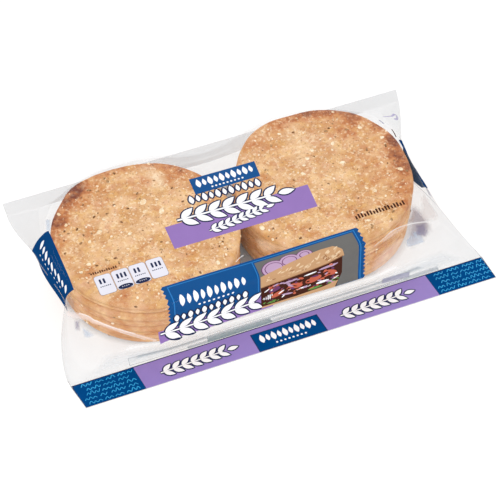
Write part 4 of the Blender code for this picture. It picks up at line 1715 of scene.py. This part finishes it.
LEFT_FOLD = [
    (206.3, 26.2), (211.7, 29.1), (215.9, 30.3), (221.1, 31.0), (226.8, 30.0), (233.6, 27.4), (241.6, 22.7),
    (250.7, 16.0), (256.4, 12.0),
]
LEFT_FOLD_LOWER = [
    (255.4, 10.4), (252.0, 12.6), (244.1, 18.2), (236.1, 23.6), (228.8, 27.2), (222.0, 28.6), (216.2, 27.2),
    (211.6, 25.8), (207.6, 24.4),
]
LEFT_PAINTED_HIGHLIGHT = [(214, 29.4), (218, 30.2), (223, 30.3), (229, 28.6), (236, 25.4), (244, 20.4)]
# The left fold: painted sheen along it and painted highlights on it.
ink("fold_painted_sheen", left_drum, curve(LEFT_FOLD) + curve(LEFT_FOLD_LOWER), 2)
ink("painted_highlight", left_drum, stroke(curve(LEFT_PAINTED_HIGHLIGHT), 0.8), 3)
ink("painted_highlight", left_drum, stroke(curve([(236, 24.2), (243, 19.2), (250, 14.0)]), 0.6), 3)
# Painted shadow between the bread and the tip of the left end label.
ink("brown_painted_shadow", left_drum, [
    (204.0, 34.5), (209.5, 33.0), (211.2, 29.8), (206.0, 26.8), (200.8, 23.0), (202.0, 29.0),
], 1)
ink("far_lilac_and_shadow", left_drum, [(212.3, 26.3), (216.2, 27.2), (218.6, 23.1), (215.4, 22.0)], 1)
ink("far_blue", left_drum, [(217.8, 25.3), (223.2, 25.8), (226.1, 24.0), (221.2, 21.9)], 1)
# A painted glint in front of the gap between the stacks.
ink("painted_highlight", above_sheet, stroke(curve([(-21.2, -34.3), (-18.3, -32.4), (-15.0, -31.0)]), 0.9), 1)
count_shapes("folds")

# %% [markdown]
# ## The ledge over the band
# Between the wall and the band the film runs over a low ledge. Its look is painted on in long soft strips:
# a painted highlight along its upper side, painted sheen and shade over all of it, painted shade that grows
# towards the band, a dark grey-green patch and thin grey lines.

# %% Ledge
def ledge(colour, left, right, back, front, layer, slant=0.0):
    """A long strip on the ledge. Its ends may slant inwards."""
    corners = [(left, front), (right, front), (right - slant, back), (left + slant, back)]
    ink(colour, above_sheet, corners, layer)


# Painted sheen and shade over the whole ledge, painted highlights along it, painted shade towards the band.
ledge("mist", -122, 116, -51.0, -58.5, 0, 16.0)
ledge("mist", -98, 100, -52.6, -58.5, 1, 4.0)
ledge("soft_painted_highlight", -100, 78, -49.8, -52.2, 2, 9.0)
ledge("soft_painted_highlight", -70, 92, -53.0, -54.4, 3)
ledge("soft_shade", -92, 88, -54.2, -56.0, 4, 4.0)
ledge("soft_shade", -60, 96, -56.6, -59.0, 4)
for back, front in ((-54.7, -55.0), (-57.6, -57.9)):
    ledge("shade", -94.0, -48.6, back, front, 5)
ledge("shade", -94.4, -94.0, -54.7, -57.9, 5)
ledge("shade", -46, 58, -53.3, -53.6, 5)
ledge("green_veil", -48.2, -8.0, -55.2, -59.0, 5, 0.6)
ink("strip_lilac", above_sheet, [(60.0, -56.4), (77.4, -57.6), (78.8, -55.1), (62.0, -53.4)], 5)
row_of_dots(above_sheet, (58.5, -57.6), (73.5, -57.8), 12, 0.55, 6, "pale")
count_shapes("ledge")

# %% [markdown]
# ## The inks
# Real inks are flat, a little cloudy, and more or less covering. Each ink gets one piece and one material.
# An ink with a soft edge stores on its points how much it covers, from nothing at the outline to its full
# strength further in.

# %% Inks
# name: slot, colour, how much of what lies under it the ink covers, and the width in mm of its soft edge.
INKS = {
    "blue": ("print_blue", (0.001, 0.066, 0.228), 1.0, 0),
    "band_blue": ("print_blue", (0.001, 0.053, 0.195), 1.0, 0),
    "end_blue": ("print_blue", (0.003, 0.044, 0.155), 1.0, 0),
    "deep_blue": ("print_blue", (0.003, 0.036, 0.130), 1.0, 0),
    "edge_blue": ("print_blue", (0.003, 0.030, 0.110), 1.0, 0),
    "navy": ("print_blue", (0.010, 0.018, 0.062), 1.0, 0),
    "sky": ("print_blue", (0.02, 0.17, 0.46), 1.0, 0),
    "teal": ("print_blue", (0.02, 0.30, 0.58), 1.0, 0),
    "purple": ("print_purple", (0.262, 0.157, 0.419), 1.0, 0),
    "violet": ("print_purple", (0.266, 0.190, 0.482), 1.0, 0),
    "white": ("print_white", (0.84, 0.84, 0.87), 1.0, 0),
    "pale": ("print_white", (0.68, 0.67, 0.74), 1.0, 0),
    "slate": ("print_picture", (0.20, 0.17, 0.20), 1.0, 0),
    "grey": ("print_picture", (0.13, 0.127, 0.122), 1.0, 0),
    "dark": ("print_picture", (0.055, 0.018, 0.012), 1.0, 0),
    "tan": ("print_picture", (0.50, 0.29, 0.15), 1.0, 0),
    "tan_light": ("print_picture", (0.58, 0.38, 0.22), 1.0, 0),
    "crumb": ("print_picture", (0.30, 0.14, 0.06), 1.0, 0),
    "cream": ("print_picture", (0.68, 0.50, 0.32), 1.0, 0),
    "coral": ("print_picture", (0.50, 0.11, 0.06), 1.0, 0),
    "rose": ("print_picture", (0.60, 0.25, 0.20), 1.0, 0),
    "plum": ("print_picture", (0.13, 0.04, 0.12), 1.0, 0),
    "lilac": ("print_picture", (0.45, 0.30, 0.45), 1.0, 0),
    "leaf": ("print_picture", (0.10, 0.24, 0.05), 1.0, 0),
    "mark": ("film", (0.22, 0.18, 0.42), 0.6, 0),
    "shade": ("film", (0.25, 0.28, 0.30), 0.5, 0),
    # Painted highlights, as thin strokes and as soft strips.
    "painted_highlight": ("film", (0.90, 0.87, 0.86), 0.65, 0.4),
    "soft_painted_highlight": ("film", (0.84, 0.85, 0.86), 0.5, 1.0),
    "soft_shade": ("film", (0.27, 0.305, 0.34), 0.66, 0.8),
    # Painted sheen and shade over the ledge.
    "mist": ("film", (0.55, 0.575, 0.60), 0.42, 3.0),
    # Lilac seen through the film, and a painted shadow inside the right end label.
    "far_lilac_and_shadow": ("film", (0.17, 0.145, 0.23), 0.66, 1.6),
    "far_blue": ("film", (0.36, 0.44, 0.56), 0.5, 1.0),
    "strip_lilac": ("film", (0.25, 0.25, 0.36), 0.72, 0.5),
    "green_veil": ("film", (0.15, 0.21, 0.235), 0.72, 0.8),
    # Painted sheen over the right fold.
    "rose_painted_sheen": ("film", (0.80, 0.66, 0.60), 0.35, 1.2),
    # Painted light on a shaded side of the bread.
    "warm_painted_light": ("film", (0.80, 0.56, 0.38), 0.36, 3.2),
    # Painted sheen over the right stack's side.
    "soft_painted_sheen": ("film", (0.82, 0.70, 0.66), 0.30, 5.0),
    "grey_veil": ("film", (0.27, 0.225, 0.245), 0.80, 5.0),
    # Painted shade and reflection.
    "pink_shade_and_reflection": ("film", (0.58, 0.50, 0.47), 0.45, 2.5),
    # Painted sheen along the left fold.
    "fold_painted_sheen": ("film", (0.80, 0.68, 0.65), 0.55, 0.9),
    # Painted shadow.
    "brown_painted_shadow": ("film", (0.30, 0.20, 0.17), 0.45, 1.4),
}

# These don't shine: they are seen at a slant, lie on the flat band, or lie over the bread.
MATT_INKS = ("band_blue", "end_blue", "deep_blue", "dark")
INK_CLOUD = 0.25


def ink_material(name, colour, cover, soft):
    """Flat ink with a little cloudiness. A soft ink takes how much it covers from its points."""
    material, tree, shader, place = new_material(f"ink_{name}")
    share = times(tree, patches(tree, place, 9 * MM, 3.0, 0.3, 0.7), INK_CLOUD)
    lighter = tuple(min(c * 1.25 + 0.003, 1.0) for c in colour)
    tree.links.new(colour_mix(tree, share, (*colour, 1), (*lighter, 1)), shader.inputs["Base Color"])
    shader.inputs["Roughness"].default_value = 0.3
    shader.inputs["Specular IOR Level"].default_value = 0.0 if name in MATT_INKS else 0.1
    shader.inputs["Alpha"].default_value = cover
    if soft:
        tree.links.new(point_value(tree, "cover"), shader.inputs["Alpha"])
    return material


def edge_distance(outline, point):
    """How far a point lies from an outline."""
    best = math.inf
    for a, b in zip(outline, outline[1:] + outline[:1]):
        along, across = b[0] - a[0], b[1] - a[1]
        t = ((point[0] - a[0]) * along + (point[1] - a[1]) * across) / (along ** 2 + across ** 2)
        t = min(max(t, 0.0), 1.0)
        best = min(best, math.hypot(point[0] - a[0] - along * t, point[1] - a[1] - across * t))
    return best


def make_ink(name):
    slot, colour, cover, soft = INKS[name]
    points, triangles, covers = [], [], []
    for sheet, outline, layer in ink_shapes[name]:
        verts, faces = fill(outline, min(FILL_SPACING, soft * 0.6) if soft else FILL_SPACING)
        first = len(points)
        points += [on_film(sheet, vert[0], vert[1], layer) for vert in verts]
        if soft:
            covers += [cover * smooth(edge_distance(outline, vert) / soft) for vert in verts]
        for face in faces:
            a, b, c = (points[first + k] for k in face)
            corner = tuple(first + k for k in face)
            facing = film_surface.find_nearest((a + b + c) / 3)[1].dot((b - a).cross(c - a))
            triangles.append(corner if facing > 0 else corner[::-1])
    mesh = bpy.data.meshes.new(f"ink_{name}")
    mesh.from_pydata(points, [], triangles)
    if soft:
        mesh.attributes.new("cover", "FLOAT", "POINT").data.foreach_set("value", covers)
    mesh.shade_smooth()
    mesh.materials.append(ink_material(name, colour, cover, soft))
    piece = add_piece(f"ink_{name}", mesh)
    # Thin print neither shades the bread and the floor nor tints the light that they throw on each other.
    piece.visible_shadow = False
    piece.visible_diffuse = False
    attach(piece, "root")
    return piece


inks = [make_ink(name) for name in ink_shapes]
print("inks:", {piece.name: len(piece.data.polygons) for piece in inks})
